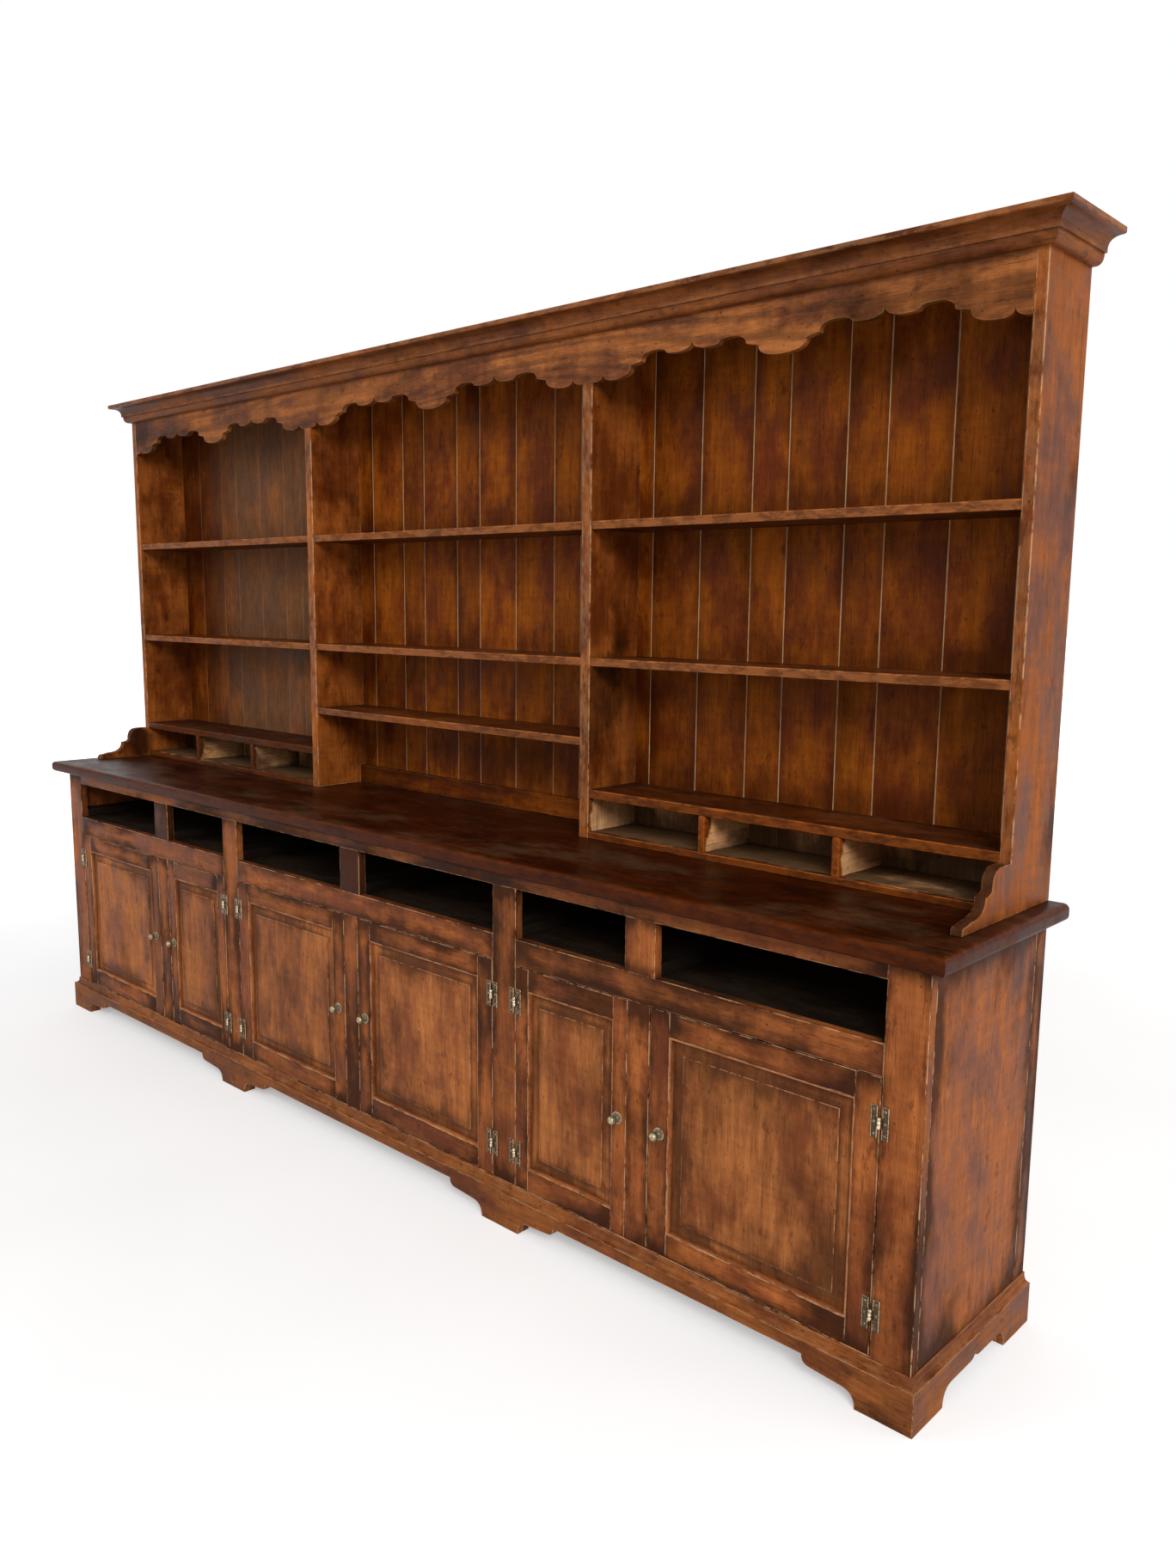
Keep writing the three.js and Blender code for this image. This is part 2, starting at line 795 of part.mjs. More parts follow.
// An end runs forward at its foot into a shaped bracket on the worktop.
function rackEnd({ name, sign }) {
  const forward = (share) => rackFrontY - bracketReach * share;
  const up = (share) => seam / 2 + bracketHeight * share;
  const outline = new THREE.Shape();
  outline.moveTo(backY, seam / 2);
  outline.lineTo(backY, rackSideHeight);
  outline.lineTo(rackFrontY, rackSideHeight);
  outline.lineTo(rackFrontY, up(1));
  const { shoulder, shoulderEnd, step, sweep, toe } = bracketShares;
  outline.lineTo(forward(shoulder), up(1));
  outline.quadraticCurveTo(
    forward(shoulderEnd[0]),
    up(1),
    forward(shoulderEnd[0]),
    up(shoulderEnd[1]),
  );
  outline.lineTo(forward(step[0]), up(step[1]));
  outline.quadraticCurveTo(forward(step[0]), up(sweep[1]), forward(sweep[0]), up(sweep[1]));
  outline.lineTo(forward(toe[0]), up(toe[1]));
  outline.quadraticCurveTo(forward(1), up(toe[1]), forward(1), up(0));
  outline.closePath();
  const end = extrudeAlongX(outline, [halfRackInside, halfBase]);
  const mesh = piece(`rack_end_${name}`, end, waxedWood());
  mesh.scale.x = sign;
  return mesh;
}

// A divider stops behind the frieze, which passes in front of its top.
function rackDivider({ name, sign }) {
  const notchY = rackFrontY + friezeThickness + seam / 2;
  const notchZ = rackSideHeight - friezeDrop - seam;
  const outline = new THREE.Shape();
  outline.moveTo(backBoardY - seam / 2, seam / 2);
  outline.lineTo(backBoardY - seam / 2, rackSideHeight - seam / 2);
  outline.lineTo(notchY, rackSideHeight - seam / 2);
  outline.lineTo(notchY, notchZ);
  outline.lineTo(rackFrontY, notchZ);
  outline.lineTo(rackFrontY, seam / 2);
  outline.closePath();
  const divider = extrudeAlongX(outline, [dividerInnerX, dividerOuterX]);
  const mesh = piece(`rack_divider_${name}`, divider, waxedWood());
  mesh.scale.x = sign;
  return mesh;
}

function rackTopBoard() {
  const top = board([-halfBase, halfBase], [rackFrontY, backY], [rackSideHeight, rackHeight]);
  return piece("rack_top_board", top, waxedWood());
}

function shelf(name, [x0, x1], height) {
  const geometry = board(
    [x0, x1],
    [rackFrontY + shelfSetBack, backBoardY],
    [height - shelfThickness, height],
  );
  return piece(name, geometry, waxedWood());
}

function centreSkirting() {
  const skirting = board(
    [-dividerInnerX, dividerInnerX],
    [backBoardY - skirtingThickness, backBoardY],
    [0, skirtingHeight],
  );
  return piece("centre_skirting", skirting, waxedWood());
}

// A row of pigeonholes: a floor, a cover and two dividers housed between them.
function pigeonholes({ name, sign }) {
  const bay = [dividerOuterX, halfRackInside];
  const depth = [rackFrontY, backBoardY];
  const floor = board(bay, depth, [0, pigeonholeFloorThickness]);
  const coverUnderside = pigeonholeHeight - pigeonholeTopThickness;
  const cover = board(bay, depth, [coverUnderside, pigeonholeHeight]);
  const spacing = (bay[1] - bay[0]) / pigeonholesPerBay;
  const dividers = [];
  for (let i = 1; i < pigeonholesPerBay; i += 1) {
    const middle = bay[0] + i * spacing;
    dividers.push(
      board(
        [middle - pigeonholeDividerThickness / 2, middle + pigeonholeDividerThickness / 2],
        depth,
        [pigeonholeFloorThickness / 2, coverUnderside + pigeonholeTopThickness / 2],
      ),
    );
  }
  const mesh = piece(`pigeonholes_${name}`, join(floor, cover, ...dividers), paleWood());
  mesh.scale.x = sign;
  return mesh;
}

// Draws the scalloped edge of one bay from left to right, the middle pendant included.
// Two arcades of twin small lobes hang between pendants, and half a lobe ends the bay.
function scallopBay(outline, [x0, x1]) {
  const middle = (x0 + x1) / 2;
  const halfBay = (x1 - x0) / 2;
  const tip = rackSideHeight - friezeDrop;
  const mark = (share, rise) => [middle + halfBay * share, tip + friezeRise * rise];
  const halfArcade = (edgeLobeShare * halfBay) / arcadesPerBay;
  const curve = (control, end) => outline.quadraticCurveTo(...control, ...end);
  outline.lineTo(...mark(-1, 0));
  curve(mark(-edgeCuspShare, 0), mark(-edgeCuspShare, edgeCuspRiseShare));
  curve(mark(-edgeCuspShare, 0), mark(-edgeLobeShare, 0));
  for (let i = 0; i < arcadesPerBay; i += 1) {
    const start = middle + (2 * i - arcadesPerBay) * halfArcade;
    scallopArcade(outline, start, halfArcade, tip);
  }
  curve(mark(edgeCuspShare, 0), mark(edgeCuspShare, edgeCuspRiseShare));
  curve(mark(edgeCuspShare, 0), mark(1, 0));
}

// One arcade: a pendant edge, a step, an arch and a small lobe, then the same mirrored.
function scallopArcade(outline, start, halfArcade, tip) {
  const { step, stepEnd, archTop, lobe } = arcadeShares;
  const pointAt = (mirrored) => (share, rise) => [
    start + halfArcade * (mirrored ? 2 - share : share),
    tip + friezeRise * rise,
  ];
  const rising = pointAt(false);
  const falling = pointAt(true);
  const curve = (control, end) => outline.quadraticCurveTo(...control, ...end);
  const lobeArchEdge = (archTop[0] + lobe[0]) / 2;
  const lobeArchRise = (archTop[1] + lobe[1]) / 2;

  curve(rising(step[0], 0), rising(...step));
  outline.lineTo(...rising(...stepEnd));
  curve(rising(stepEnd[0], archTop[1]), rising(...archTop));
  curve(rising(lobeArchEdge, archTop[1]), rising(lobeArchEdge, lobeArchRise));
  curve(rising(lobeArchEdge, lobe[1]), rising(...lobe));
  curve(rising(1, lobe[1]), rising(1, 1));
  curve(falling(1, lobe[1]), falling(...lobe));
  curve(falling(lobeArchEdge, lobe[1]), falling(lobeArchEdge, lobeArchRise));
  curve(falling(lobeArchEdge, archTop[1]), falling(...archTop));
  curve(falling(stepEnd[0], archTop[1]), falling(...stepEnd));
  outline.lineTo(...falling(...step));
  curve(falling(step[0], 0), falling(0, 0));
}

function frieze() {
  const halfFrieze = halfRackInside - seam / 2;
  const top = rackSideHeight - seam / 2;
  const outline = new THREE.Shape();
  outline.moveTo(-halfFrieze, top);
  scallopBay(outline, [-halfFrieze, -dividerOuterX]);
  scallopBay(outline, [-dividerInnerX, dividerInnerX]);
  scallopBay(outline, [dividerOuterX, halfFrieze]);
  outline.lineTo(halfFrieze, top);
  outline.closePath();
  const depth = [rackFrontY, rackFrontY + friezeThickness];
  return piece("frieze", extrudeAlongY(outline, depth), waxedWood());
}

// A moulding mitred round the front and both ends: ovolo, fillet, cove and nose.
function cornice() {
  const out = (share) => seam / 2 + (corniceProjection - seam / 2) * share;
  const up = (share) => rackHeight - corniceHeight * (1 - share);
  const { foot, ovolo, fillet, cove, nose } = corniceShares;
  const profile = new THREE.Shape();
  profile.moveTo(out(0), up(0));
  profile.lineTo(out(foot), up(0));
  profile.quadraticCurveTo(out(ovolo[0]), up(0), out(ovolo[0]), up(ovolo[1]));
  profile.lineTo(out(fillet[0]), up(ovolo[1]));
  profile.lineTo(out(fillet[0]), up(fillet[1]));
  profile.quadraticCurveTo(out(fillet[0]), up(cove[1]), out(cove[0]), up(cove[1]));
  profile.lineTo(out(1), up(nose));
  profile.lineTo(out(1), up(1));
  profile.lineTo(out(0), up(1));
  profile.closePath();
  const run = runMoulding(profile, [
    (reach) => [halfBase + reach, backY],
    (reach) => [halfBase + reach, rackFrontY - reach],
    (reach) => [-halfBase - reach, rackFrontY - reach],
    (reach) => [-halfBase - reach, backY],
  ]);
  return piece("cornice", run, waxedWood());
}

function buildRack() {
  const rack = new THREE.Group();
  rack.position.z = worktopHeight;
  rack.add(rackTopBoard(), frieze(), cornice(), centreSkirting());
  rack.add(backBoards("rack_back_boards", halfRackInside, [0, rackSideHeight]));
  for (const side of sides) {
    rack.add(rackEnd(side), rackDivider(side), pigeonholes(side));
  }
  const bays = {
    left: [-halfRackInside, -dividerOuterX],
    centre: [-dividerInnerX, dividerInnerX],
    right: [dividerOuterX, halfRackInside],
  };
  for (const [name, span] of Object.entries(bays)) {
    rack.add(shelf(`upper_shelf_${name}`, span, upperShelfHeight));
    rack.add(shelf(`middle_shelf_${name}`, span, middleShelfHeight));
  }
  rack.add(shelf("low_shelf_centre", bays.centre, lowShelfHeight));
  return rack;
}

const dresser = new THREE.Group();
dresser.add(buildBase(), buildDoors(), buildRack());

export default dresser;
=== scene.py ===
import math

import bpy
import numpy as np
from mathutils import Matrix, Vector


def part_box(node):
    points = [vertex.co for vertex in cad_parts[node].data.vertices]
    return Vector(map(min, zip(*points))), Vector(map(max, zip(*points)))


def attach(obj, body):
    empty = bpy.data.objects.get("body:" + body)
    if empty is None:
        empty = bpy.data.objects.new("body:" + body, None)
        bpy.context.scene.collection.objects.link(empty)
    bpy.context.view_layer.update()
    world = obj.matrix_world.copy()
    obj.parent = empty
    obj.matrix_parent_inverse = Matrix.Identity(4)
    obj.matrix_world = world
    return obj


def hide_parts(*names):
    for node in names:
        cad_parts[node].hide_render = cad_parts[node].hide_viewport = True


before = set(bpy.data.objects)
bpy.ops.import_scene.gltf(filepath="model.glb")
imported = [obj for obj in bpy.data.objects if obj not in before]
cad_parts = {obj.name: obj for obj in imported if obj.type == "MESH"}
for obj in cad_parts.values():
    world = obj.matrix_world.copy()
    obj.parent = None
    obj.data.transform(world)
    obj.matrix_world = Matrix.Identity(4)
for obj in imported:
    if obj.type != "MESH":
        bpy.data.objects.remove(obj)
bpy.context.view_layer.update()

# Camera: it stands in front of the right-hand end of the dresser, a little above half its
# height, turned to the left and tipped down. The place comes from the photograph's own edges.
camera_data = bpy.data.cameras.new("camera")
camera_data.sensor_width = 36.0
camera_data.lens = 27.56
camera_data.clip_end = 200.0
camera = bpy.data.objects.new("camera", camera_data)
camera_place = (2.570, -2.0685, 1.476)
yaw, pitch, roll = (math.radians(angle) for angle in (42.82, 8.59, 0.572))
turned_camera = (
    Matrix.Rotation(yaw, 4, "Z")
    @ Matrix.Rotation(math.pi / 2 - pitch, 4, "X")
    @ Matrix.Rotation(roll, 4, "Z")
)
camera.matrix_world = Matrix.Translation(camera_place) @ turned_camera
bpy.context.scene.collection.objects.link(camera)
bpy.context.scene.camera = camera
bpy.context.scene.view_settings.view_transform = "Standard"

# Plinth: an oak board under the front and one under each end, sawn into shaped feet and
# mitred at the corners, with a hollow moulding planted on top. Stained and waxed.
seam = 0.0003
half_base, back_y, face_y = 1.662, 0.2625, -0.2205
plinth_height, plinth_top, plinth_out, plinth_ledge = 0.086, 0.106, 0.016, 0.022
carcase_foot = 0.070
foot_shoulder, foot_lobe_run, foot_lobe_width, foot_lobe_rise = 0.034, 0.096, 0.022, 0.038
rail_rise = 0.058
corner_foot, rear_foot, middle_foot, middle_foot_x = 0.102, 0.117, 0.125, 0.5965
side_notch_width, side_notch_rise = 0.046, 0.053
hollow_lip, arris_radius = 0.003, 0.0012
end_soil_run, arris_soil_run = 0.05, 0.02
chance = np.random.default_rng(1830)


def add_node(tree, kind, inputs=None, **settings):
    """Adds a node. A value in inputs that is another node's socket is linked, any other is set."""
    node = tree.nodes.new("ShaderNode" + kind)
    for name, value in settings.items():
        setattr(node, name, value)
    for name, value in (inputs or {}).items():
        if isinstance(value, bpy.types.NodeSocket):
            tree.links.new(value, node.inputs[name])
        else:
            node.inputs[name].default_value = value
    return node


def sums(tree, operation, *values):
    """One sum carried over two or more numbers or sockets, from the first to the last."""
    result = values[0]
    for value in values[1:]:
        result = add_node(tree, "Math", {0: result, 1: value}, operation=operation).outputs[0]
    return result


def weighed(tree, *pairs):
    """Numbers or sockets added up, each times its own share."""
    return sums(tree, "ADD", *(sums(tree, "MULTIPLY", value, share) for value, share in pairs))


def spread(tree, value, low, high, to_low=0.0, to_high=1.0):
    """Carries low..high smoothly to to_low..to_high and holds it there outside."""
    limits = {"From Min": low, "From Max": high, "To Min": to_low, "To Max": to_high}
    inputs = {"Value": value, **limits}
    return add_node(tree, "MapRange", inputs, interpolation_type="SMOOTHSTEP").outputs["Result"]


def blended(tree, share, first, second, how="MIX"):
    """Two colours mixed by a share."""
    inputs = {0: share, 6: first, 7: second}
    return add_node(tree, "Mix", inputs, data_type="RGBA", blend_type=how).outputs[2]


def grey(tree, level):
    """The grey of a level."""
    return add_node(tree, "CombineColor", {0: level, 1: level, 2: level}).outputs[0]


def grained_noise(tree, grain, along, across, detail, roughness=0.5):
    """Noise in the grain's own frame: so many cells a metre along the grain and across it."""
    cells = (along, across, across)
    stretched = add_node(tree, "VectorMath", {0: grain, 1: cells}, operation="MULTIPLY").outputs[0]
    inputs = {"Vector": stretched, "Scale": 1.0, "Detail": detail, "Roughness": roughness}
    return add_node(tree, "TexNoise", inputs).outputs["Fac"]


def shade(*levels):
    """A colour written as the eye reads it, 0 to 255, carried to the light that it gives back."""
    return (*(np.array(levels) / 255.0) ** 2.2, 1.0)


def old_wood_group():
    """Old stained timber. Soft mottles run from brown to amber under faint year rings, which are
    the contour lines of a slow noise, and a faint curl lies across the grain. Dark patches gather,
    most where a board's soil mark is high: dirt by joints and edges, and painted shade on the rack
    back. Blots, scratches, pores and rubbed arrises are laid over them, and thin clouds of dust lie
    where the board looks up."""
    tree = bpy.data.node_groups.new("old wood", "ShaderNodeTree")
    for kind, names in {
        "Vector": ("Grain",),
        "Float": ("Edge", "Tone", "Soil", "Top", "Patches", "Rings", "Wear", "Broken", "Dust"),
        "Color": ("Dark", "Brown", "Amber", "Worn"),
    }.items():
        for name in names:
            tree.interface.new_socket(name, in_out="INPUT", socket_type="NodeSocket" + kind)
    for name, kind in {"Colour": "Color", "Dullness": "Float", "Height": "Float"}.items():
        tree.interface.new_socket(name, in_out="OUTPUT", socket_type="NodeSocket" + kind)
    given = tree.nodes.new("NodeGroupInput").outputs

    def noise(*cells):
        """Noise along and across the grain of the board that wears the group."""
        return grained_noise(tree, given["Grain"], *cells)

    slow = noise(0.55, 4.2, 1.5, 0.4)
    ring = spread(tree, sums(tree, "SINE", sums(tree, "MULTIPLY", slow, 170.0), 0.0), -0.4, 1.0)
    streak = noise(1.8, 55.0, 4.0, 0.65)
    fibre = noise(9.0, 420.0, 2.0)
    pore = spread(tree, noise(38.0, 800.0, 1.0), 0.60, 0.70)
    mottle = spread(tree, noise(5.0, 9.0, 5.0, 0.66), 0.36, 0.64)
    cloud = noise(2.6, 5.0, 5.0, 0.62)
    curl = noise(70.0, 9.0, 3.0, 0.6)
    blot = spread(tree, noise(16.0, 34.0, 4.0, 0.6), 0.60, 0.68)
    scratch = spread(tree, noise(11.0, 330.0, 1.0), 0.68, 0.72)
    speck = spread(tree, noise(80.0, 160.0, 2.0), 0.68, 0.74)
    rub = spread(tree, noise(22.0, 60.0, 5.0, 0.72), 0.42, 0.56)
    dust = spread(tree, noise(3.5, 7.0, 6.0, 0.7), 0.46, 0.70)

    amber_share = sums(tree, "MULTIPLY", mottle, spread(tree, streak, 0.3, 0.65, 0.75, 1.0))
    colour = blended(tree, amber_share, given["Brown"], given["Amber"])
    in_streaks = spread(tree, streak, 0.3, 0.6, 0.4, 1.0)
    ring_share = sums(tree, "MULTIPLY", ring, given["Rings"], in_streaks)
    colour = blended(tree, ring_share, colour, given["Dark"])
    soiled_and_shaded = spread(tree, weighed(tree, (cloud, 1.0), (given["Soil"], 0.26)), 0.53, 0.74)
    soiled_and_shaded = sums(tree, "MULTIPLY", soiled_and_shaded, given["Patches"])
    colour = blended(tree, soiled_and_shaded, colour, given["Dark"])
    light = sums(
        tree, "MULTIPLY",
        spread(tree, streak, 0.25, 0.75, 0.88, 1.12),
        spread(tree, fibre, 0.25, 0.75, 0.90, 1.10),
        spread(tree, curl, 0.25, 0.75, 0.90, 1.10),
        spread(tree, given["Tone"], 0.0, 1.0, 0.86, 1.14),
    )
    colour = blended(tree, 1.0, colour, grey(tree, light), "MULTIPLY")
    marks = ((pore, 0.25), (speck, 0.7), (blot, 0.45), (scratch, 0.5))
    marked = sums(tree, "MAXIMUM", *(sums(tree, "MULTIPLY", mark, share) for mark, share in marks))
    colour = blended(tree, marked, colour, given["Dark"])
    missing = sums(tree, "MULTIPLY", given["Broken"], sums(tree, "SUBTRACT", 1.0, rub))
    whole = sums(tree, "SUBTRACT", 1.0, missing)
    rubbed = sums(tree, "MULTIPLY", given["Edge"], whole, given["Wear"])
    colour = blended(tree, rubbed, colour, given["Worn"])
    dusty = sums(tree, "MULTIPLY", dust, given["Top"], given["Dust"])
    colour = blended(tree, dusty, colour, shade(150, 118, 86))

    dent = sums(tree, "MAXIMUM", speck, scratch)
    results = {
        "Colour": colour,
        "Dullness": weighed(tree, (mottle, 0.4), (streak, 0.4), (soiled_and_shaded, 0.3), (dusty, 1.0)),
        "Height": weighed(tree, (fibre, 0.5), (pore, -0.5), (streak, 0.6), (dent, -0.6)),
    }
    output = tree.nodes.new("NodeGroupOutput")
    for name, socket in results.items():
        tree.links.new(socket, output.inputs[name])
    return tree


old_wood = old_wood_group()
usual_figure = {"patches": 0.7, "rings": 0.14, "wear": 0.6, "broken": 1.0, "dust": 0.04}


def wood_nodes(tree, colours, **figure):
    """Places the wood group, fed by the marks that each board carries, and returns its outputs.
    The colours are those of dark, brown, amber and rubbed wood."""
    group = tree.nodes.new("ShaderNodeGroup")
    group.node_tree = old_wood
    for name in ("Grain", "Edge", "Tone", "Soil", "Top"):
        mark = add_node(tree, "Attribute", attribute_name=name.lower())
        tree.links.new(mark.outputs["Vector" if name == "Grain" else "Fac"], group.inputs[name])
    for name, colour in zip(("Dark", "Brown", "Amber", "Worn"), colours):
        group.inputs[name].default_value = shade(*colour)
    for name, share in {**usual_figure, **figure}.items():
        group.inputs[name.capitalize()].default_value = share
    return group.outputs


def new_material(name):
    """A material with nodes, and their tree."""
    material = bpy.data.materials.new(name)
    material.use_nodes = True
    return material, material.node_tree


def finished(material, colour, dullness, height, smooth=0.36, rough=0.66, depth=0.0005, gloss=0.09):
    """The surface of a material whose nodes are given: dullness runs from smooth to rough."""
    tree = material.node_tree
    shader = tree.nodes["Principled BSDF"]
    tree.links.new(colour, shader.inputs["Base Color"])
    tree.links.new(spread(tree, dullness, 0.2, 0.8, smooth, rough), shader.inputs["Roughness"])
    bump = add_node(tree, "Bump", {"Height": height, "Strength": 1.0, "Distance": depth})
    tree.links.new(bump.outputs[0], shader.inputs["Normal"])
    shader.inputs["Specular IOR Level"].default_value = gloss
    return material


def wooden(name, colours, finish=None, **figure):
    """A material of old wood in the given colours, finish and figure."""
    material, tree = new_material(name)
    wood = wood_nodes(tree, colours, **figure)
    return finished(material, wood["Colour"], wood["Dullness"], wood["Height"], **(finish or {}))


waxed_wood = wooden(
    "waxed wood", ((46, 24, 11), (108, 56, 29), (158, 91, 48), (210, 162, 120)), patches=0.88,
)
plinth_wood = wooden(
    "plinth wood", ((44, 23, 12), (102, 54, 27), (146, 86, 44), (196, 146, 104)), patches=0.8,
)


def board_marks(points, along, edge, soil=0.0):
    """Grain position, arris share, tone and darkening mark for one board: grain is the point turned
    so that X runs along the grain, moved to its own place in the tree."""
    order = [along, (along + 1) % 3, (along + 2) % 3]
    grain = points[:, order] * chance.choice([-1.0, 1.0], 3) + chance.uniform(-40.0, 40.0, 3)
    tone = np.full(len(points), chance.uniform(0.1, 0.9))
    return {"grain": grain, "edge": edge, "tone": tone, "soil": soil + np.zeros(len(points))}


def wandering(stations, largest):
    """Wear along four arrises: the square of a sum of five sines with seeded phases, whose
    lengths halve from 450 mm down."""
    length = 0.45 * 2.0 ** -np.arange(5)[:, None, None]
    phase = chance.uniform(0.0, 2.0 * math.pi, (5, 1, 4))
    waves = np.sin(2.0 * math.pi * stations[None, :, None] / length + phase).sum(0) / 2.5
    return largest * np.clip(waves, 0.0, 1.0) ** 2


def board(
    low, high, along, radius=arris_radius, worn_by=0.0007, step=0.03, front_rub=0.0, shoulder=0.0006
):
    """A board between two corners with rounded arrises. The section is a rectangle whose corners
    are quarter circles of radius plus wear, set at stations along the board, and the last
    radius of each end is drawn in by a quarter circle. Two flat faces close the ends. Dirt
    falls off as e to the minus distance from the ends and from the arrises."""
    hair = 0.00005
    low, high = np.minimum(low, high) + hair, np.maximum(low, high) - hair
    middle, half = (low + high) / 2.0, (high - low) / 2.0
    a, b = (along + 1) % 3, (along + 2) % 3
    least = min(half[a], half[b])
    radius, worn_by = min(radius, 0.45 * half.min()), min(worn_by, 0.5 * least)
    turn = np.array([0.0, 0.5, 1.0]) * math.pi / 2.0
    end_in, end_at = radius * (1.0 - np.sin(turn[:2])), radius * (1.0 - np.cos(turn[:2]))
    reach = half[along]
    between = np.linspace(radius - reach, reach - radius, max(4, int(2 * reach / step)))
    stations = np.r_[-reach, end_at - reach, between, (reach - end_at)[::-1], reach]
    cap = radius + min(0.004, 0.4 * least)
    inset = np.r_[cap, end_in, np.zeros(len(between)), end_in[::-1], cap]
    curve = np.maximum(radius + wandering(stations, worn_by) - inset[:, None], 0.0)

    signs = np.array([(1, 1), (-1, 1), (-1, -1), (1, -1)], float)
    centres = signs * (half[[a, b]] - inset[:, None, None] - curve[..., None])
    angles = np.arange(4)[:, None] * math.pi / 2.0 + turn
    spokes = np.stack([np.cos(angles), np.sin(angles)], -1)
    arcs = centres[:, :, None] + curve[..., None, None] * spokes
    starts, stops = arcs[:, :, 2], np.roll(arcs[:, :, 0], -1, 1)
    rounded = np.ones((len(stations), 3))
    sides = []
    for corner in range(4):
        way = stops[:, corner] - starts[:, corner]
        wide = np.linalg.norm(way, axis=1)[:, None]
        way /= np.maximum(wide, 1e-9)
        shares = np.array([0.1, 0.28, 0.5, 0.72, 0.9] if wide.max() > 0.04 else [0.5])
        lip = np.minimum(shoulder, 0.2 * wide)
        gone = np.concatenate([lip, lip + shares * (wide - 2 * lip), wide - lip], 1)
        flat = starts[:, corner, None] + gone[..., None] * way[:, None]
        from_arris = np.minimum(gone, wide - gone)
        sides += [(arcs[:, corner], rounded, 0.0 * rounded), (flat, 0.0 * gone, from_arris)]
    section, edge, from_arris = (np.concatenate(kind, 1) for kind in zip(*sides))
    rows, count = edge.shape
    points = np.zeros((rows, count, 3))
    points[:, :, along] = stations[:, None]
    points[:, :, a], points[:, :, b] = section[..., 0], section[..., 1]
    edge[[1, 2, -3, -2]] = 1.0
    edge[[0, -1]] = 0.0
    from_end = (reach - np.abs(stations))[:, None]
    by_arris = 0.7 * np.exp(-from_arris / arris_soil_run)
    soil = np.maximum(np.exp(-from_end / end_soil_run), by_arris)
    points, edge = points.reshape(-1, 3) + middle, edge.ravel()
    if front_rub:
        edge = np.maximum(edge, front_rub * (points[:, 1] < low[1] + radius + 0.0005))
    return grid_part(points, rows, count, board_marks(points, along, edge, soil.ravel()))


def grid_part(points, rows, count, marks):
    """The quads of a grid of rows by count points, closed round each row, with a flat end face
    at the first row and at the last."""
    i, j = np.meshgrid(np.arange(rows - 1), np.arange(count), indexing="ij")
    here, there = i * count + j, i * count + (j + 1) % count
    quads = np.stack([here, there, there + count, here + count], -1).reshape(-1, 4)
    ends = [np.arange(count)[::-1], (rows - 1) * count + np.arange(count)]
    return {"points": points, "quads": quads, "flats": ends, **marks}


def facing_out(part):
    """The part with its faces turned over if its first end face looks inwards. That face's
    normal is the sum of corner x next corner round it."""
    first = part["points"][part["flats"][0]]
    normal = np.cross(first, np.roll(first, -1, 0)).sum(0)
    if normal @ (part["points"].mean(0) - first.mean(0)) < 0:
        return part
    turned_flats = [flat[::-1] for flat in part["flats"]]
    return {**part, "quads": part["quads"][:, ::-1], "flats": turned_flats}


def assembled(name, parts, material, node=None, body="case"):
    """Puts the parts of one piece into one mesh with their marks, and hands it to the frame. The
    top mark is 1 on each part's highest points, where dust can lie."""
    parts = [facing_out(part) for part in parts]
    points, faces, offset = [], [], 0
    for part in parts:
        height = part["points"][:, 2]
        part["top"] = 1.0 * (height > height.max() - 0.0006)
        points.append(part["points"])
        faces += (part["quads"] + offset).tolist()
        faces += [(flat + offset).tolist() for flat in part["flats"]]
        offset += len(height)
    mesh = bpy.data.meshes.new(name)
    mesh.from_pydata(np.concatenate(points), [], faces)
    for mark in ("grain", "edge", "tone", "soil", "top"):
        kind, field = ("FLOAT_VECTOR", "vector") if mark == "grain" else ("FLOAT", "value")
        values = np.concatenate([part[mark] for part in parts]).astype(np.float32)
        mesh.attributes.new(mark, kind, "POINT").data.foreach_set(field, values.ravel())
    mesh.polygons.foreach_set("use_smooth", np.ones(len(mesh.polygons), bool))
    mesh.set_sharp_from_angle(angle=math.radians(50.0))
    mesh.materials.append(material)
    piece = bpy.data.objects.new(name, mesh)
    bpy.context.scene.collection.objects.link(piece)
    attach(piece, body)
    if node:
        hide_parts(node)


def curved(start, control, end, count=7):
    """Points of a curve that leaves start towards control and meets end, start left out."""
    t = np.linspace(0.0, 1.0, count)[1:, None]
    start, control, end = (np.array(point, float) for point in (start, control, end))
    return (1 - t) ** 2 * start + 2 * t * (1 - t) * control + t**2 * end


def drawn(*steps):
    """An outline drawn step by step. A step is a corner, or the control and the end of a curve
    from where the outline has come to, with its number of points."""
    runs = [[steps[0]]]
    for step in steps[1:]:
        runs.append(curved(runs[-1][-1], *step) if np.ndim(step[0]) else [step])
    return np.concatenate(runs)


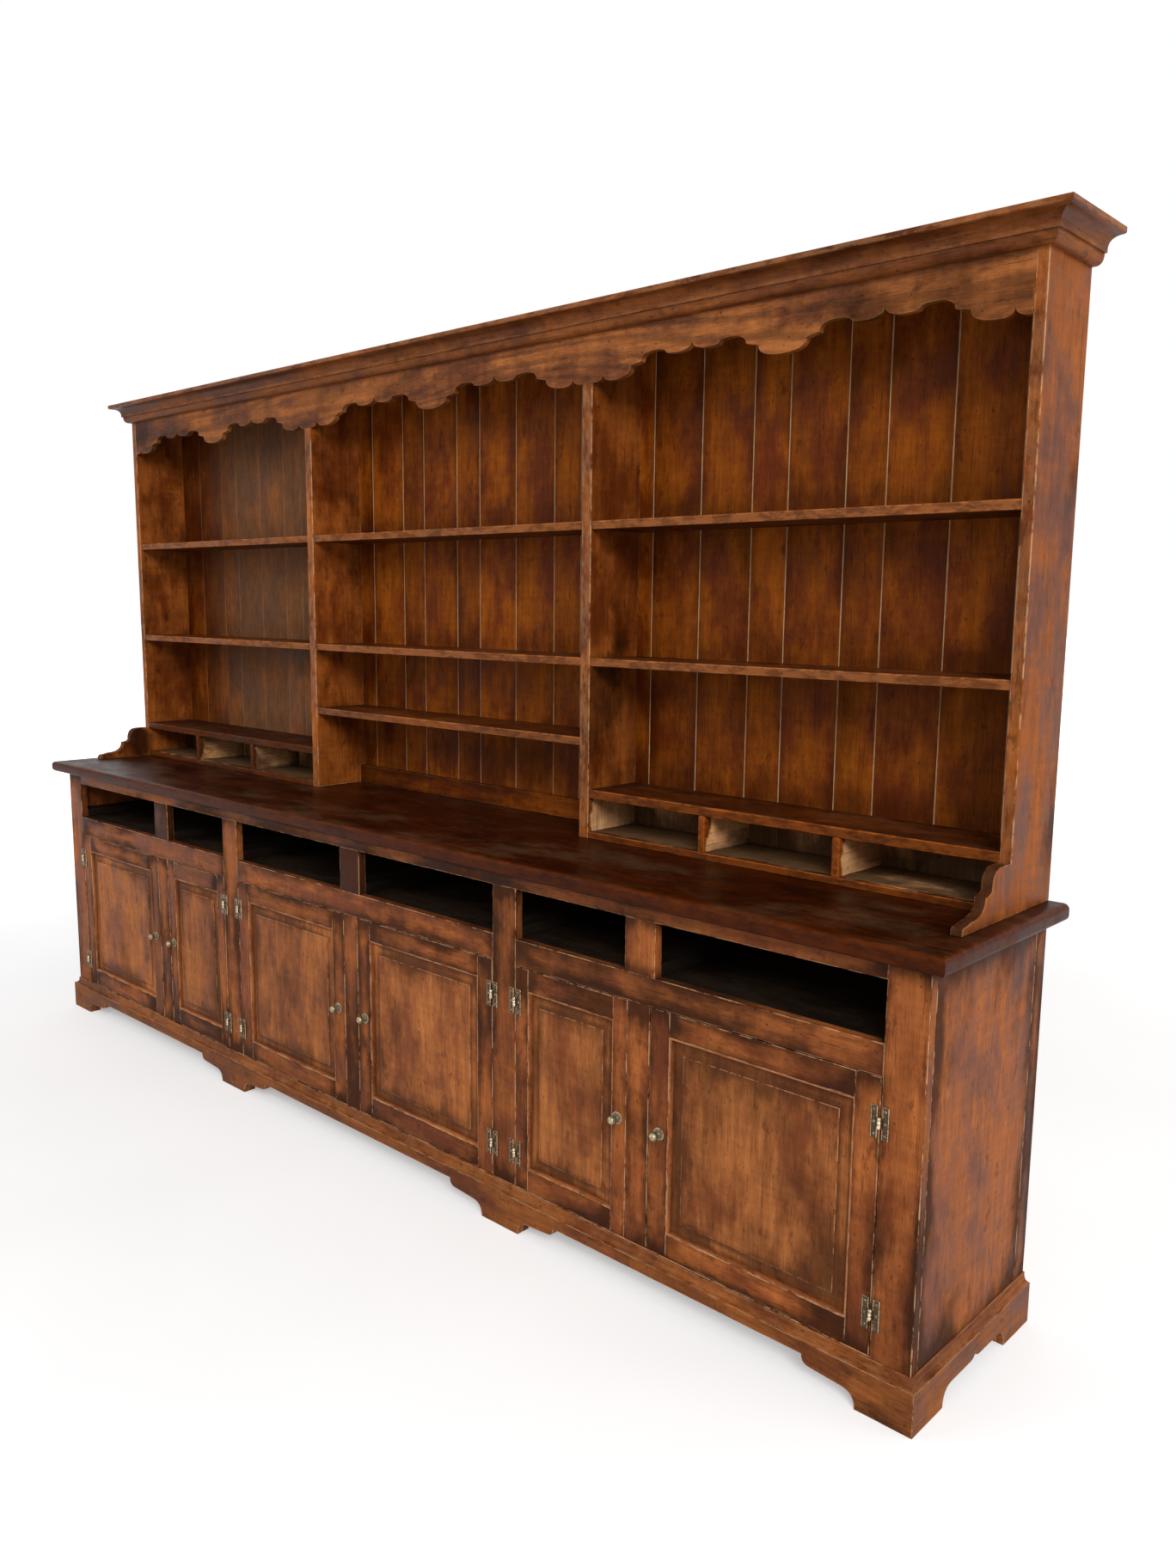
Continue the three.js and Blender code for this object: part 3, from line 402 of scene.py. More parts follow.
def sawn_board(outline, across, from_to, along, radius=arris_radius, rub=0.25):
    """A board sawn to an outline. The rounded edge is a profile carried round the outline: each
    point steps inwards along the outline's own normal. Two flat faces close it."""
    outline = np.asarray(outline, float)
    before, after = np.roll(outline, 1, 0), np.roll(outline, -1, 0)
    way_in, way_out = outline - before, after - outline
    way_in /= np.linalg.norm(way_in, axis=1)[:, None]
    way_out /= np.linalg.norm(way_out, axis=1)[:, None]
    area = (before[:, 0] * outline[:, 1] - outline[:, 0] * before[:, 1]).sum() / 2.0
    way = way_in + way_out
    inward = np.sign(area) * np.stack([-way[:, 1], way[:, 0]], 1)
    inward /= np.maximum((inward**2).sum(1), 0.35)[:, None] / 2.0

    near, far = from_to
    deeper = np.sign(far - near)
    lip = radius + min(0.001, 0.3 * abs(far - near))
    turn = np.linspace(0.0, math.pi / 2.0, 4)
    drawn_in, sunk = radius * (1.0 - np.sin(turn)), radius * (1.0 - np.cos(turn))
    steps = np.r_[radius + 0.001, drawn_in, 0.0, 0.0, drawn_in[::-1], radius + 0.001]
    from_near, from_far = np.r_[0.0, sunk, lip], np.r_[lip, sunk[::-1], 0.0]
    depth = np.r_[near + deeper * from_near, far - deeper * from_far]

    first, second = [axis for axis in (0, 1, 2) if axis != across]
    rows, count = len(steps), len(outline)
    flat = outline[None] + steps[:, None, None] * inward[None]
    points = np.zeros((rows, count, 3))
    points[:, :, first], points[:, :, second] = flat[..., 0], flat[..., 1]
    points[:, :, across] = depth[:, None]
    edge = np.ones((rows, count))
    edge[[0, -1]] = 0.0
    edge[[5, 6]] = rub
    points = points.reshape(-1, 3)
    return grid_part(points, rows, count, board_marks(points, along, edge.ravel()))


def moulding(profile, corners, up, rub):
    """A moulding: a profile of (out, up) points carried past corners, each a point with the way
    that out leads there, so that it turns in true mitres. Each run is its own length of wood."""
    profile, up = np.asarray(profile, float), np.asarray(up, float)
    lengths = []
    for ends in zip(corners[:-1], corners[1:]):
        along = int(np.argmax(np.abs(np.subtract(ends[1][0], ends[0][0]))))
        points = np.concatenate([
            np.asarray(point) + profile[:, :1] * np.asarray(out) + profile[:, 1:] * up
            for point, out in ends
        ])
        marks = board_marks(points, along, np.tile(rub, 2))
        lengths.append(grid_part(points, 2, len(profile), marks))
    return lengths


def foot_edge(edge, way):
    """One side of a foot from its flat on the floor up to the rail, as (x, z) points."""
    runs = (foot_shoulder, foot_lobe_run, foot_lobe_run + foot_lobe_width)
    shoulder, lobe, end = (edge + way * run for run in runs)
    return np.concatenate([
        drawn((edge, 0.0), ((edge, foot_shoulder), (shoulder, foot_shoulder))),
        curved((lobe, foot_lobe_rise), (end, foot_lobe_rise), (end, rail_rise)),
    ])


def plinth_front_outline(top):
    """The front board of the plinth: its ends and top edge, and three arches between four feet."""
    outer, inner = middle_foot_x + middle_foot / 2, middle_foot_x - middle_foot / 2
    corner, end = half_base - corner_foot, half_base + plinth_out
    arches = [
        np.concatenate([foot_edge(left, 1), foot_edge(right, -1)[::-1]])
        for left, right in ((-corner, -outer), (-inner, inner), (outer, corner))
    ]
    return np.concatenate([[(-end, top), (-end, 0.0)], *arches, [(end, 0.0), (end, top)]])


def plinth_end_outline(top):
    """An end board of the plinth, as (y, z) points: two feet and a small point between them."""
    front, rear, rise = face_y + corner_foot, back_y - rear_foot, foot_lobe_rise
    middle, notch = (front + rear) / 2, side_notch_width / 2
    return drawn(
        (face_y - plinth_out, top), (face_y - plinth_out, 0.0), (front, 0.0),
        ((front, rise), (front + foot_shoulder, rise)),
        (middle - notch, rise), ((middle, rise), (middle, side_notch_rise)),
        ((middle, rise), (middle + notch, rise)),
        (rear - foot_shoulder, rise), ((rear, rise), (rear, 0.0)),
        (back_y, 0.0), (back_y, top),
    )


def plinth_board(outline, across, from_to):
    """A board of the plinth, cut back to the mitre at the front corners."""
    part = sawn_board(outline, across, from_to, 1 - across)
    x, y = part["points"][:, 0], part["points"][:, 1]
    if across == 1:
        limit = half_base + (face_y - y)
        part["points"][:, 0] = np.clip(x, -limit, limit)
    else:
        part["points"][:, 1] = np.maximum(y, face_y - (np.abs(x) - half_base))
    return part


def round_three_sides(front_y):
    """The corners of a run from the right-hand back round the front to the left-hand back, each
    with the way that out leads there."""
    turns = ((1.0, back_y, 0.0), (1.0, front_y, -1.0), (-1.0, front_y, -1.0), (-1.0, back_y, 0.0))
    return [((side * half_base, y, 0.0), (side, out, 0.0)) for side, y, out in turns]


hollow = drawn(
    (seam, plinth_height), (plinth_out, plinth_height),
    (plinth_out - hollow_lip, plinth_height + 0.0005),
    ((hollow_lip, plinth_height + 0.001), (hollow_lip, plinth_top - hollow_lip), 9),
    (0.0028, plinth_top - 0.0005), (0.0022, plinth_top), (seam, plinth_top),
)
rubbed_at, rubbed_by = (0, 1, 4, 10, 11, 13), (0.0, 0.6, 0.1, 0.1, 0.5, 0.0)
hollow_rub = np.interp(np.arange(len(hollow)), rubbed_at, rubbed_by)
plinth_runs = moulding(hollow, round_three_sides(face_y), (0.0, 0.0, 1.0), hollow_rub)
for side, outline, across, sign, face, run in (
    ("front", plinth_front_outline, 1, -1, face_y, 1),
    ("right", plinth_end_outline, 0, 1, half_base, 0),
    ("left", plinth_end_outline, 0, -1, -half_base, 2),
):
    outer, joint, inner = (face + sign * out for out in (plinth_out, seam, -plinth_ledge))
    shown = plinth_board(outline(plinth_height), across, (outer, joint))
    hidden = plinth_board(outline(carcase_foot - seam), across, (joint, inner))
    boards = [shown, hidden, plinth_runs[run]]
    assembled(f"plinth_{side}_boards", boards, plinth_wood, f"plinth_{side}")

# Face frame: stiles, rails, posts and muntins of oak, tenoned together into one lattice in
# front of the carcase. The arrises are rubbed pale, partly wear and partly a painted highlight,
# and the faces stained in dark patches.
inside_y, carcase_top = -0.1985, 0.865
bay_outer, post_outer, post_inner, muntin_x = 1.578, 0.635, 0.558, 1.009
drawer_low, drawer_high, door_low, door_high = 0.710, 0.828, 0.108, 0.648
centre_muntin, outer_muntin, centre_post, outer_post = 0.084, 0.082, 0.058, 0.060
oak_arris, oak_wear = 0.001, 0.0007
muntin_sides = (muntin_x - outer_muntin / 2, muntin_x + outer_muntin / 2)
post_sides = (muntin_x - outer_post / 2, muntin_x + outer_post / 2)
# Each is the axis of its grain, 0 in a rail and 2 in an upright, then its sides, foot and top.
middle_boards = (
    (0, -bay_outer, bay_outer, drawer_high, carcase_top),
    (0, -bay_outer, bay_outer, carcase_foot, door_low),
    (2, -centre_muntin / 2, centre_muntin / 2, drawer_low, drawer_high),
    (2, -centre_post / 2, centre_post / 2, door_low, door_high),
    (0, -post_inner, post_inner, door_high, drawer_low),
)
side_boards = (
    (2, bay_outer, half_base, carcase_foot, carcase_top),
    (2, post_inner, post_outer, door_low, drawer_high),
    (2, *muntin_sides, drawer_low, drawer_high),
    (2, *post_sides, door_low, door_high),
    (0, post_outer, bay_outer, door_high, drawer_low),
)
lattice = [
    board((sign * x0, face_y, z0), (sign * x1, inside_y, z1), along, oak_arris, oak_wear)
    for sign, boards in ((1, middle_boards), (-1, side_boards), (1, side_boards))
    for along, x0, x1, z0, z1 in boards
]
assembled("face_frame_lattice", lattice, waxed_wood, "face_frame")

# Carcase: ends of two boards glued edge to edge, two partitions, a bottom, the deck that the
# drawers run on, and a back of upright boards. Pine inside, waxed outside.
half_inside = half_base - 0.022
end_joint_y = back_y - 0.047
for side, sign in (("left", -1), ("right", 1)):
    ends = [
        board((sign * half_inside, y0, carcase_foot), (sign * half_base, y1, carcase_top), 2)
        for y0, y1 in ((inside_y, end_joint_y), (end_joint_y, back_y))
    ]
    assembled(f"base_end_{side}_boards", ends, waxed_wood, f"base_end_{side}")

back_board_y, rear_y, rack_front = 0.2505, 0.256, 0.0725
row_inner, row_outer, row_low, row_high = 0.574, 1.6355, 0.906, 1.010


def bare_wood_group():
    """Where the wood never took stain: at the rear of the back boards, and round the pigeonholes,
    in a band from their floor to their cover between the ends, that starts 10 to 30 mm behind
    the front in a wavering line."""
    tree = bpy.data.node_groups.new("bare wood", "ShaderNodeTree")
    tree.interface.new_socket("Place", in_out="INPUT", socket_type="NodeSocketVector")
    tree.interface.new_socket("Bareness", in_out="OUTPUT", socket_type="NodeSocketFloat")
    place = tree.nodes.new("NodeGroupInput").outputs["Place"]
    x, y, z = add_node(tree, "SeparateXYZ", {0: place}).outputs
    aside = sums(tree, "ABSOLUTE", x, 0.0)
    blur, waver, stained_to, bare_from = 0.002, 0.06, rack_front - 0.020, rack_front - 0.012
    between_ends = spread(tree, aside, row_outer - blur, row_outer + blur, 1.0, 0.0)
    rear = sums(tree, "MULTIPLY", spread(tree, y, rear_y - 0.001, rear_y + 0.001), between_ends)
    behind = weighed(tree, (y, 1.0), (grained_noise(tree, place, 14.0, 14.0, 3.0, 0.6), -waver))
    row = sums(
        tree, "MULTIPLY", between_ends,
        spread(tree, behind, stained_to, bare_from),
        spread(tree, z, row_low - blur, row_low + blur),
        spread(tree, z, row_high - blur, row_high + blur, 1.0, 0.0),
        spread(tree, aside, row_inner - blur, row_inner + blur),
    )
    output = tree.nodes.new("NodeGroupOutput")
    tree.links.new(sums(tree, "MAXIMUM", row, rear), output.inputs["Bareness"])
    return tree


bare_wood = bare_wood_group()
bare_pine = ((50, 34, 21), (204, 144, 94), (236, 180, 126), (234, 184, 136))


def part_stained(name, colours, finish=None, **figure):
    """Old wood in the given colours that is bare pine wherever the bare wood group says."""
    material, tree = new_material(name)
    stained = wood_nodes(tree, colours, **figure)
    bare = wood_nodes(tree, bare_pine, patches=0.85, wear=0.2, dust=0.12)
    group = tree.nodes.new("ShaderNodeGroup")
    group.node_tree = bare_wood
    tree.links.new(add_node(tree, "TexCoord").outputs["Object"], group.inputs["Place"])
    bareness = group.outputs["Bareness"]
    colour = blended(tree, bareness, stained["Colour"], bare["Colour"])
    dry = sums(tree, "MULTIPLY", bareness, 0.75)
    dullness = sums(tree, "MAXIMUM", stained["Dullness"], dry)
    return finished(material, colour, dullness, stained["Height"], **(finish or {}))


# The pale worn colour on these boards' arrises is a painted highlight at each joint; in the
# left-hand bay it also greys the boards.
back_wood = part_stained(
    "back board wood", ((44, 19, 7), (94, 42, 12), (140, 74, 20), (190, 158, 122)),
    {"smooth": 0.44, "rough": 0.72, "gloss": 0.06}, patches=0.5, rings=0.06, wear=0.85, broken=0.3,
)
dry_finish = {"smooth": 0.6, "rough": 0.85, "gloss": 0.1}
inside_wood = wooden(
    "inside wood", ((34, 21, 12), (72, 45, 26), (102, 67, 40), (122, 84, 54)), dry_finish,
    patches=0.6, wear=0.4,
)
deck_wood = wooden(
    "drawer deck wood", ((16, 12, 10), (30, 22, 16), (44, 33, 24), (60, 46, 34)), dry_finish,
    patches=0.6, wear=0.2, dust=0.0,
)
board_widths = (0.147, 0.097, 0.147, 0.097, 0.147)
pattern_start, least_board = -0.491, 0.060


def upright_boards(half_width, low, high):
    """A back of upright boards whose widths follow the pattern. Each board is rounded along
    its arrises, so that a V shows at every joint. Hardly any dirt is on the rear."""
    periods = pattern_start + sum(board_widths) * np.arange(-4, 5)[:, None]
    joints = (periods + np.cumsum((0.0,) + board_widths[:-1])).ravel()
    reach = half_width - least_board
    edges = np.r_[-half_width, joints[(joints > -reach) & (joints < reach)], half_width]
    boards = []
    for x0, x1 in zip(edges[:-1], edges[1:]):
        part = board(
            (x0, back_board_y, low), (x1, back_y, high), 2,
            radius=0.0011, worn_by=0.0002, step=0.06, shoulder=0.0003,
        )
        part["soil"] *= np.where(part["points"][:, 1] > rear_y, 0.15, 1.0)
        boards.append(part)
    return boards


def corners_of(node):
    """The lowest and the highest corner of a node of the frame."""
    return [np.array(corner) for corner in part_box(node)]


base_back = upright_boards(half_inside, carcase_foot, carcase_top)
assembled("base_back_upright_boards", base_back, back_wood, "base_back_boards")
for name, along in (("bottom_board", 0), ("partition_left", 2), ("partition_right", 2)):
    node = f"base_{name}"
    inner_board = board(*corners_of(node), along)
    assembled(f"{node}_piece", [inner_board], inside_wood, node)

deck_low, guide_high = 0.692, 0.735
guides = [(-half_inside, -bay_outer), (bay_outer, half_inside)]
guides.append((-centre_muntin / 2, centre_muntin / 2))
for sign in (-1, 1):
    guides += [(sign * x0, sign * x1) for x0, x1 in ((post_inner, post_outer), muntin_sides)]
deck = [board((-half_inside, inside_y, deck_low), (half_inside, back_board_y, drawer_low), 0)]
deck += [board((x0, inside_y, drawer_low), (x1, back_board_y, guide_high), 1) for x0, x1 in guides]
assembled("drawer_deck_and_guides", deck, deck_wood, "drawer_deck")

# Worktop: one thick dark board with a rounded nose along the front and both ends, waxed and
# handled until it shines. It lies on the carcase and carries the rack.
worktop_top, worktop_lap, nose = 0.900, 0.042, 0.012


def slab(low, high, across, insets, levels, rub, along, drawn_in=((1, 1), (1, 1)), soil=0.0):
    """A slab whose edge profile is carried round its rectangle: at each step the rectangle is
    drawn in by an inset, on the sides that take one, and set at a level."""
    insets = np.asarray(insets, float)
    points = np.zeros((len(insets), 4, 3))
    axes = [axis for axis in (0, 1, 2) if axis != across]
    for axis, (from_low, from_high), order in zip(axes, drawn_in, ([0, 1, 1, 0], [0, 0, 1, 1])):
        ends = np.stack([low[axis] + insets * from_low, high[axis] - insets * from_high], 1)
        points[:, :, axis] = ends[:, order]
    points[:, :, across] = np.asarray(levels, float)[:, None]
    points = points.reshape(-1, 3)
    soil = np.repeat(soil + np.zeros(len(insets)), 4)
    return grid_part(points, len(insets), 4, board_marks(points, along, np.repeat(rub, 4), soil))


worktop_wood = wooden(
    "worktop wood", ((22, 10, 3), (44, 18, 5), (68, 30, 9), (104, 50, 17)),
    {"smooth": 0.30, "rough": 0.48, "depth": 0.0004, "gloss": 0.055},
    patches=0.6, rings=0.4, wear=0.5, broken=0.6, dust=0.14,
)
turn = np.linspace(0.0, math.pi / 2.0, 7)
nose_in, nose_down = nose * (1.0 - np.sin(turn)), nose * (1.0 - np.cos(turn))
worktop_low = (-half_base - worktop_lap, face_y - worktop_lap, carcase_top + seam / 2)
worktop_high = (half_base + worktop_lap, back_y, worktop_top - seam / 2)
nose_rub = [0.0, 0.3, 0.9, 1.0, 1.0, 0.8, 0.6, 0.5, 0.5, 0.5, 0.5, 0.4, 0.3, 0.2, 0.0, 0.0]
nose_insets = np.r_[0.03, nose_in, nose_in[::-1], 0.03]
nose_levels = np.r_[
    worktop_high[2], worktop_high[2] - nose_down, worktop_low[2] + nose_down[::-1], worktop_low[2]
]
worktop = slab(
    worktop_low, worktop_high, 2, nose_insets, nose_levels, nose_rub, 0, ((1, 1), (1, 0))
)
assembled("worktop_board", [worktop], worktop_wood, "worktop")

# Doors: two stiles and two rails of oak tenoned together, with a small ovolo run along their
# inner edges, round a fielded panel that is free in its groove. They hang in the face frame.
door_deep, door_rail, door_wear = 0.022, 0.058, 0.0006
ovolo, ovolo_sunk, margin_sunk = 0.006, 0.0006, 0.0082
door_stiles = {
    f"{side}_{place}_door": stile
    for side in ("left", "right")
    for place, stile in (("centre", 0.058), ("narrow", 0.046), ("wide", 0.058))
}
panel_wood = wooden(
    "door panel wood", ((54, 30, 15), (116, 63, 34), (166, 101, 56), (208, 160, 118)),
)
turn = np.linspace(math.pi / 2.0, 0.0, 6)
ovolo_profile = np.concatenate([
    np.stack([ovolo * (1.0 - np.cos(turn)), ovolo_sunk + ovolo * (1.0 - np.sin(turn))], 1),
    [(0.0, door_deep), (ovolo, door_deep)],
])
# The pale rubbed colour on the ovolo's front arris is partly wear and partly a painted highlight.
ovolo_rub_and_highlight = np.array([1.0, 0.5, 0.1, 0.0, 0.0, 0.1, 0.0, 0.0])
panel_insets = [
    0.110, 0.070, 0.045, 0.0352, 0.0344, 0.0336, 0.0335, 0.0315, 0.020, 0.007, 0.0, 0.0, 0.007
]
panel_falls = np.array([0.0, 0.0, 0.0, 0.0, 0.0002, 0.0006, 0.0016, 0.0018, 0.0021])
# The pale rubbed colour at the edge of the raised field is a painted highlight.
panel_rub_and_highlight = [0.0, 0.0, 0.0, 0.0, 0.8, 0.8, 0.0, 0.0, 0.0, 0.0, 0.0, 0.0, 0.0]
# The panel's darkening rises from none at the middle of the field to most in the sunk margin and at
# its edges.
panel_margin_darkening = [0.0, 0.15, 0.4, 0.6, 0.6, 0.8, 1.0, 1.0, 0.6, 1.0, 1.0, 0.3, 0.3]
for label, stile in door_stiles.items():
    (x0, front, z0), (x1, back, z1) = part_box(f"{label}_frame")
    sight_x, sight_z = (x0 + stile, x1 - stile), (z0 + door_rail, z1 - door_rail)
    left, right = sight_x[0] - ovolo, sight_x[1] + ovolo
    door_frame = [
        board((xa, front, za), (xb, back, zb), along, oak_arris, door_wear)
        for xa, xb, za, zb, along in (
            (x0, left, z0, z1, 2), (right, x1, z0, z1, 2),
            (left, right, z0, sight_z[0] - ovolo, 0), (left, right, sight_z[1] + ovolo, z1, 0),
        )
    ]
    sight = [
        ((sight_x[i], front, sight_z[k]), (2.0 * i - 1.0, 0.0, 2.0 * k - 1.0))
        for i, k in ((0, 0), (1, 0), (1, 1), (0, 1), (0, 0))
    ]
    door_frame += moulding(ovolo_profile, sight, (0.0, 1.0, 0.0), ovolo_rub_and_highlight)
    assembled(f"{label}_stiles_and_rails", door_frame, waxed_wood, f"{label}_frame", body=label)
    low, high = corners_of(f"{label}_panel")
    margin = front + margin_sunk
    levels = np.r_[low[1] + panel_falls, margin, margin, high[1], high[1]]
    panel = slab(low, high, 1, panel_insets, levels, panel_rub_and_highlight, 2, soil=panel_margin_darkening)
    assembled(f"{label}_fielded_panel", [panel], panel_wood, f"{label}_panel", body=label)

# H hinges: two flat leaves joined by a barrel, cut from brass plate and screwed on. One leaf
# is on the frame and one on the door. The brass has gone dark and stays bright on its edges.
leaf_wide, leaf_thick, leaf_high, leaf_spacing = 0.013, 0.002, 0.062, 0.010
barrel_radius, barrel_high, pin_radius, tongue_lap = 0.004, 0.022, 0.0022, 0.002
knuckle_gap, round_off, bore = 0.0004, 0.0006, 0.0005


def turned(profile, centre, axis, sides, rub):
    """A turned piece: a profile of (radius, height) points carried round an axis, as
    centre + radius (cos, sin) across the axis + height along it."""
    profile = np.asarray(profile, float)
    angle = np.linspace(0.0, 2.0 * math.pi, sides, endpoint=False)
    first, second = (axis + 1) % 3, (axis + 2) % 3
    points = np.zeros((len(profile), sides, 3))
    points[:, :, first] = centre[first] + profile[:, :1] * np.cos(angle)
    points[:, :, second] = centre[second] + profile[:, :1] * np.sin(angle)
    points[:, :, axis] = centre[axis] + profile[:, 1:]
    points = points.reshape(-1, 3)
    return grid_part(points, len(profile), sides, board_marks(points, axis, np.repeat(rub, sides)))


def aged_brass_material():
    """Brass with a dark skin that has worn off its edges and in small spots."""
    material, tree = new_material("aged brass")
    shader = tree.nodes["Principled BSDF"]
    grain, edge = (add_node(tree, "Attribute", attribute_name=name) for name in ("grain", "edge"))
    cloud = grained_noise(tree, grain.outputs["Vector"], 220.0, 220.0, 4.0, 0.6)
    grit = grained_noise(tree, grain.outputs["Vector"], 1400.0, 1400.0, 2.0)
    worn = sums(tree, "MULTIPLY", edge.outputs["Fac"], spread(tree, cloud, 0.3, 0.55))
    worn = sums(tree, "MAXIMUM", worn, spread(tree, cloud, 0.62, 0.78, 0.0, 0.3))
    skin = blended(tree, spread(tree, cloud, 0.3, 0.7), shade(54, 38, 22), shade(84, 62, 38))
    colour = blended(tree, worn, skin, shade(226, 208, 170))
    tree.links.new(colour, shader.inputs["Base Color"])
    tree.links.new(spread(tree, worn, 0.0, 1.0, 0.55, 0.26), shader.inputs["Roughness"])
    tree.links.new(spread(tree, worn, 0.0, 0.6, 0.45, 1.0), shader.inputs["Metallic"])
    bump = add_node(tree, "Bump", {"Height": grit, "Strength": 0.6, "Distance": 0.0002})
    tree.links.new(bump.outputs[0], shader.inputs["Normal"])
    return material


aged_brass = aged_brass_material()
knuckle = barrel_high / 3.0 - knuckle_gap
knuckle_profile = np.array([
    (bore, 0.0), (barrel_radius - round_off, 0.0), (barrel_radius, round_off),
    (barrel_radius, knuckle - round_off), (barrel_radius - round_off, knuckle), (bore, knuckle),
])
knuckle_rub = [0.2, 0.6, 1.0, 1.0, 0.6, 0.2]
screw_profile = [(0.0027, 0.0), (0.0026, -0.0005), (0.0019, -0.0009), (0.0004, -0.0011)]
screw_rub, screw_heights = [0.1, 0.5, 0.2, 0.2], (-0.023, 0.0, 0.023)


def hinge_leaf(pin, way):
    """One leaf of an H hinge with its tongue and its screws, from the pin's middle outwards."""
    x, y, z = pin
    near, far = x + way * leaf_spacing / 2, x + way * (leaf_spacing / 2 + leaf_wide)
    front, back = y + barrel_radius - leaf_thick, y + barrel_radius
    low, high = z - leaf_high / 2, z + leaf_high / 2
    leaf = board(
        (near, front, low), (far, back, high), 2, 0.0004, 0.0002, step=0.004, shoulder=0.0011
    )
    inner, outer = x + way * tongue_lap, near + way * tongue_lap
    low, high = z - barrel_high / 2 + seam, z + barrel_high / 2 - seam
    back -= knuckle_gap
    tongue = board((inner, front, low), (outer, back, high), 2, 0.0003, 0.0, step=0.004)
    heads = [((near + far) / 2, front, z + up) for up in screw_heights]
    return [leaf, tongue, *(turned(screw_profile, head, 1, 12, screw_rub) for head in heads)]


for label in door_stiles:
    door_leaves = []
    for level in ("upper", "lower"):
        node = f"{label}_hinge_{level}"
        low, high = corners_of(node)
        door_way = np.sign(sum(corners_of(f"{label}_frame"))[0] - (low + high)[0])
        pin_x = (high[0] if door_way > 0 else low[0]) - door_way * barrel_radius
        pin = (pin_x, low[1] + barrel_radius, (low[2] + high[2]) / 2)
        starts = (np.arange(3) / 3.0 - 0.5) * barrel_high + knuckle_gap / 2
        knuckles = [turned(knuckle_profile + (0.0, up), pin, 2, 20, knuckle_rub) for up in starts]
        pin_end = barrel_high / 2 - knuckle_gap
        rod = turned([(pin_radius, -pin_end), (pin_radius, pin_end)], pin, 2, 12, [0.0, 0.0])
        fixed = [*hinge_leaf(pin, -door_way), *knuckles, rod]
        assembled(f"{node}_frame_leaf_and_barrel", fixed, aged_brass, node)
        door_leaves += hinge_leaf(pin, door_way)
    assembled(
        f"{label}_hinge_door_leaves", door_leaves, aged_brass, body=label
    )

# Knobs: turned brass, a ball on a waisted neck that springs from a round rose, screwed
# through the free stile of each door.
ball = np.linspace(-0.72, 1.0, 12) * math.pi / 2.0
knob_profile = np.concatenate([
    drawn(
        (0.0005, 0.0), (0.0136, 0.0), (0.014, 0.0005), (0.0138, 0.0014), (0.0122, 0.0021),
        (0.0098, 0.0026), (0.009, 0.003), ((0.0048, 0.0042), (0.0045, 0.0085)),
        (0.0045, 0.0095), (0.0054, 0.0102), (0.0054, 0.0109), (0.0046, 0.0115),
    ),
    np.stack([0.010 * np.cos(ball), 0.0185 + 0.0085 * np.sin(ball)], 1)[:-1],
    [(0.0006, 0.027)],
])
knob_rub = np.interp(
    knob_profile[:, 1],
    (0.0, 0.001, 0.003, 0.010, 0.014, 0.020, 0.027), (0.2, 0.7, 0.1, 0.3, 0.1, 0.3, 0.6),
)
for label in door_stiles:
    low, high = corners_of(f"{label}_knob")
    foot = ((low[0] + high[0]) / 2, high[1], (low[2] + high[2]) / 2)
    knob = turned(knob_profile * (1.0, -1.0), foot, 1, 32, knob_rub)
    assembled(f"{label}_turned_knob", [knob], aged_brass, f"{label}_knob", label)

# Rack back: upright tongued boards of two widths between the rack's ends, nailed to the backs
# of the shelves, stained except where the pigeonholes stand. A pale line at each joint is a
# painted highlight on the arrises. The left-hand bay has gone grey. Painted shade darkens the
# boards just above each shelf, towards the ends and behind the pigeonholes.
half_rack, rack_side_top, rack_top = 1.638, 2.137, 2.155
divider_in, divider_out = 0.557, 0.587
gap = 0.0002
shelf_heights = np.array([1.02, 1.34, 1.67])
shelf_shade_run, end_shade_run, last_board_x, grey_run = 0.06, 0.1, 1.42, (-1.50, -1.25)
rack_boards = upright_boards(half_rack - seam / 2, worktop_top + gap, rack_side_top)
for part in rack_boards:
    x, y, z = part["points"].T
    front = y < rear_y
    left_bay = (x < -divider_out) & front
    # Painted shade: the fronts are darkened just above each shelf, towards the rack's ends and
    # behind the pigeonholes, where the last board by each end is stained dark instead.
    above = z[:, None] - shelf_heights
    shaded_by_shelves = np.where(above > -0.02, np.exp(-np.abs(above) / shelf_shade_run), 0.0).max(1)
    shaded_by_ends = np.exp((np.abs(x) - half_rack) / end_shade_run)
    row_stain_and_shade = (1.5 if abs(x.mean()) > last_board_x else 0.5) * (z < row_high)
    soil = np.maximum.reduce([part["soil"], shaded_by_shelves, shaded_by_ends, 0.7 * left_bay, row_stain_and_shade])
    part["soil"] = np.where(front, soil, part["soil"])
    part["tone"] = np.where(left_bay, 0.1 * part["tone"], part["tone"])
    greyed = np.interp(x, grey_run, (0.0, 0.15)) + 0.25 * part["edge"]
    part["edge"] = np.where(left_bay, greyed, part["edge"])
assembled("rack_back_upright_boards", rack_boards, back_wood, "rack_back_boards")

# Rack ends, dividers and top: the ends run forward at the foot into shaped brackets on the
# worktop. The dividers are housed behind the frieze, and the top board lies over all.
bracket_reach, bracket_high, frieze_drop, frieze_thick = 0.188, 0.103, 0.153, 0.018
rack_arris, bracket_start = 0.0015, rack_front - 0.004
# The pale worn colour on the arrises of the ends and dividers is partly wear and partly a painted
# highlight.
upright_wood = part_stained(
    "rack upright wood", ((38, 18, 8), (100, 49, 20), (154, 85, 36), (206, 156, 112)), patches=0.85,
)
rack_low, rack_high = worktop_top + gap, rack_side_top - gap
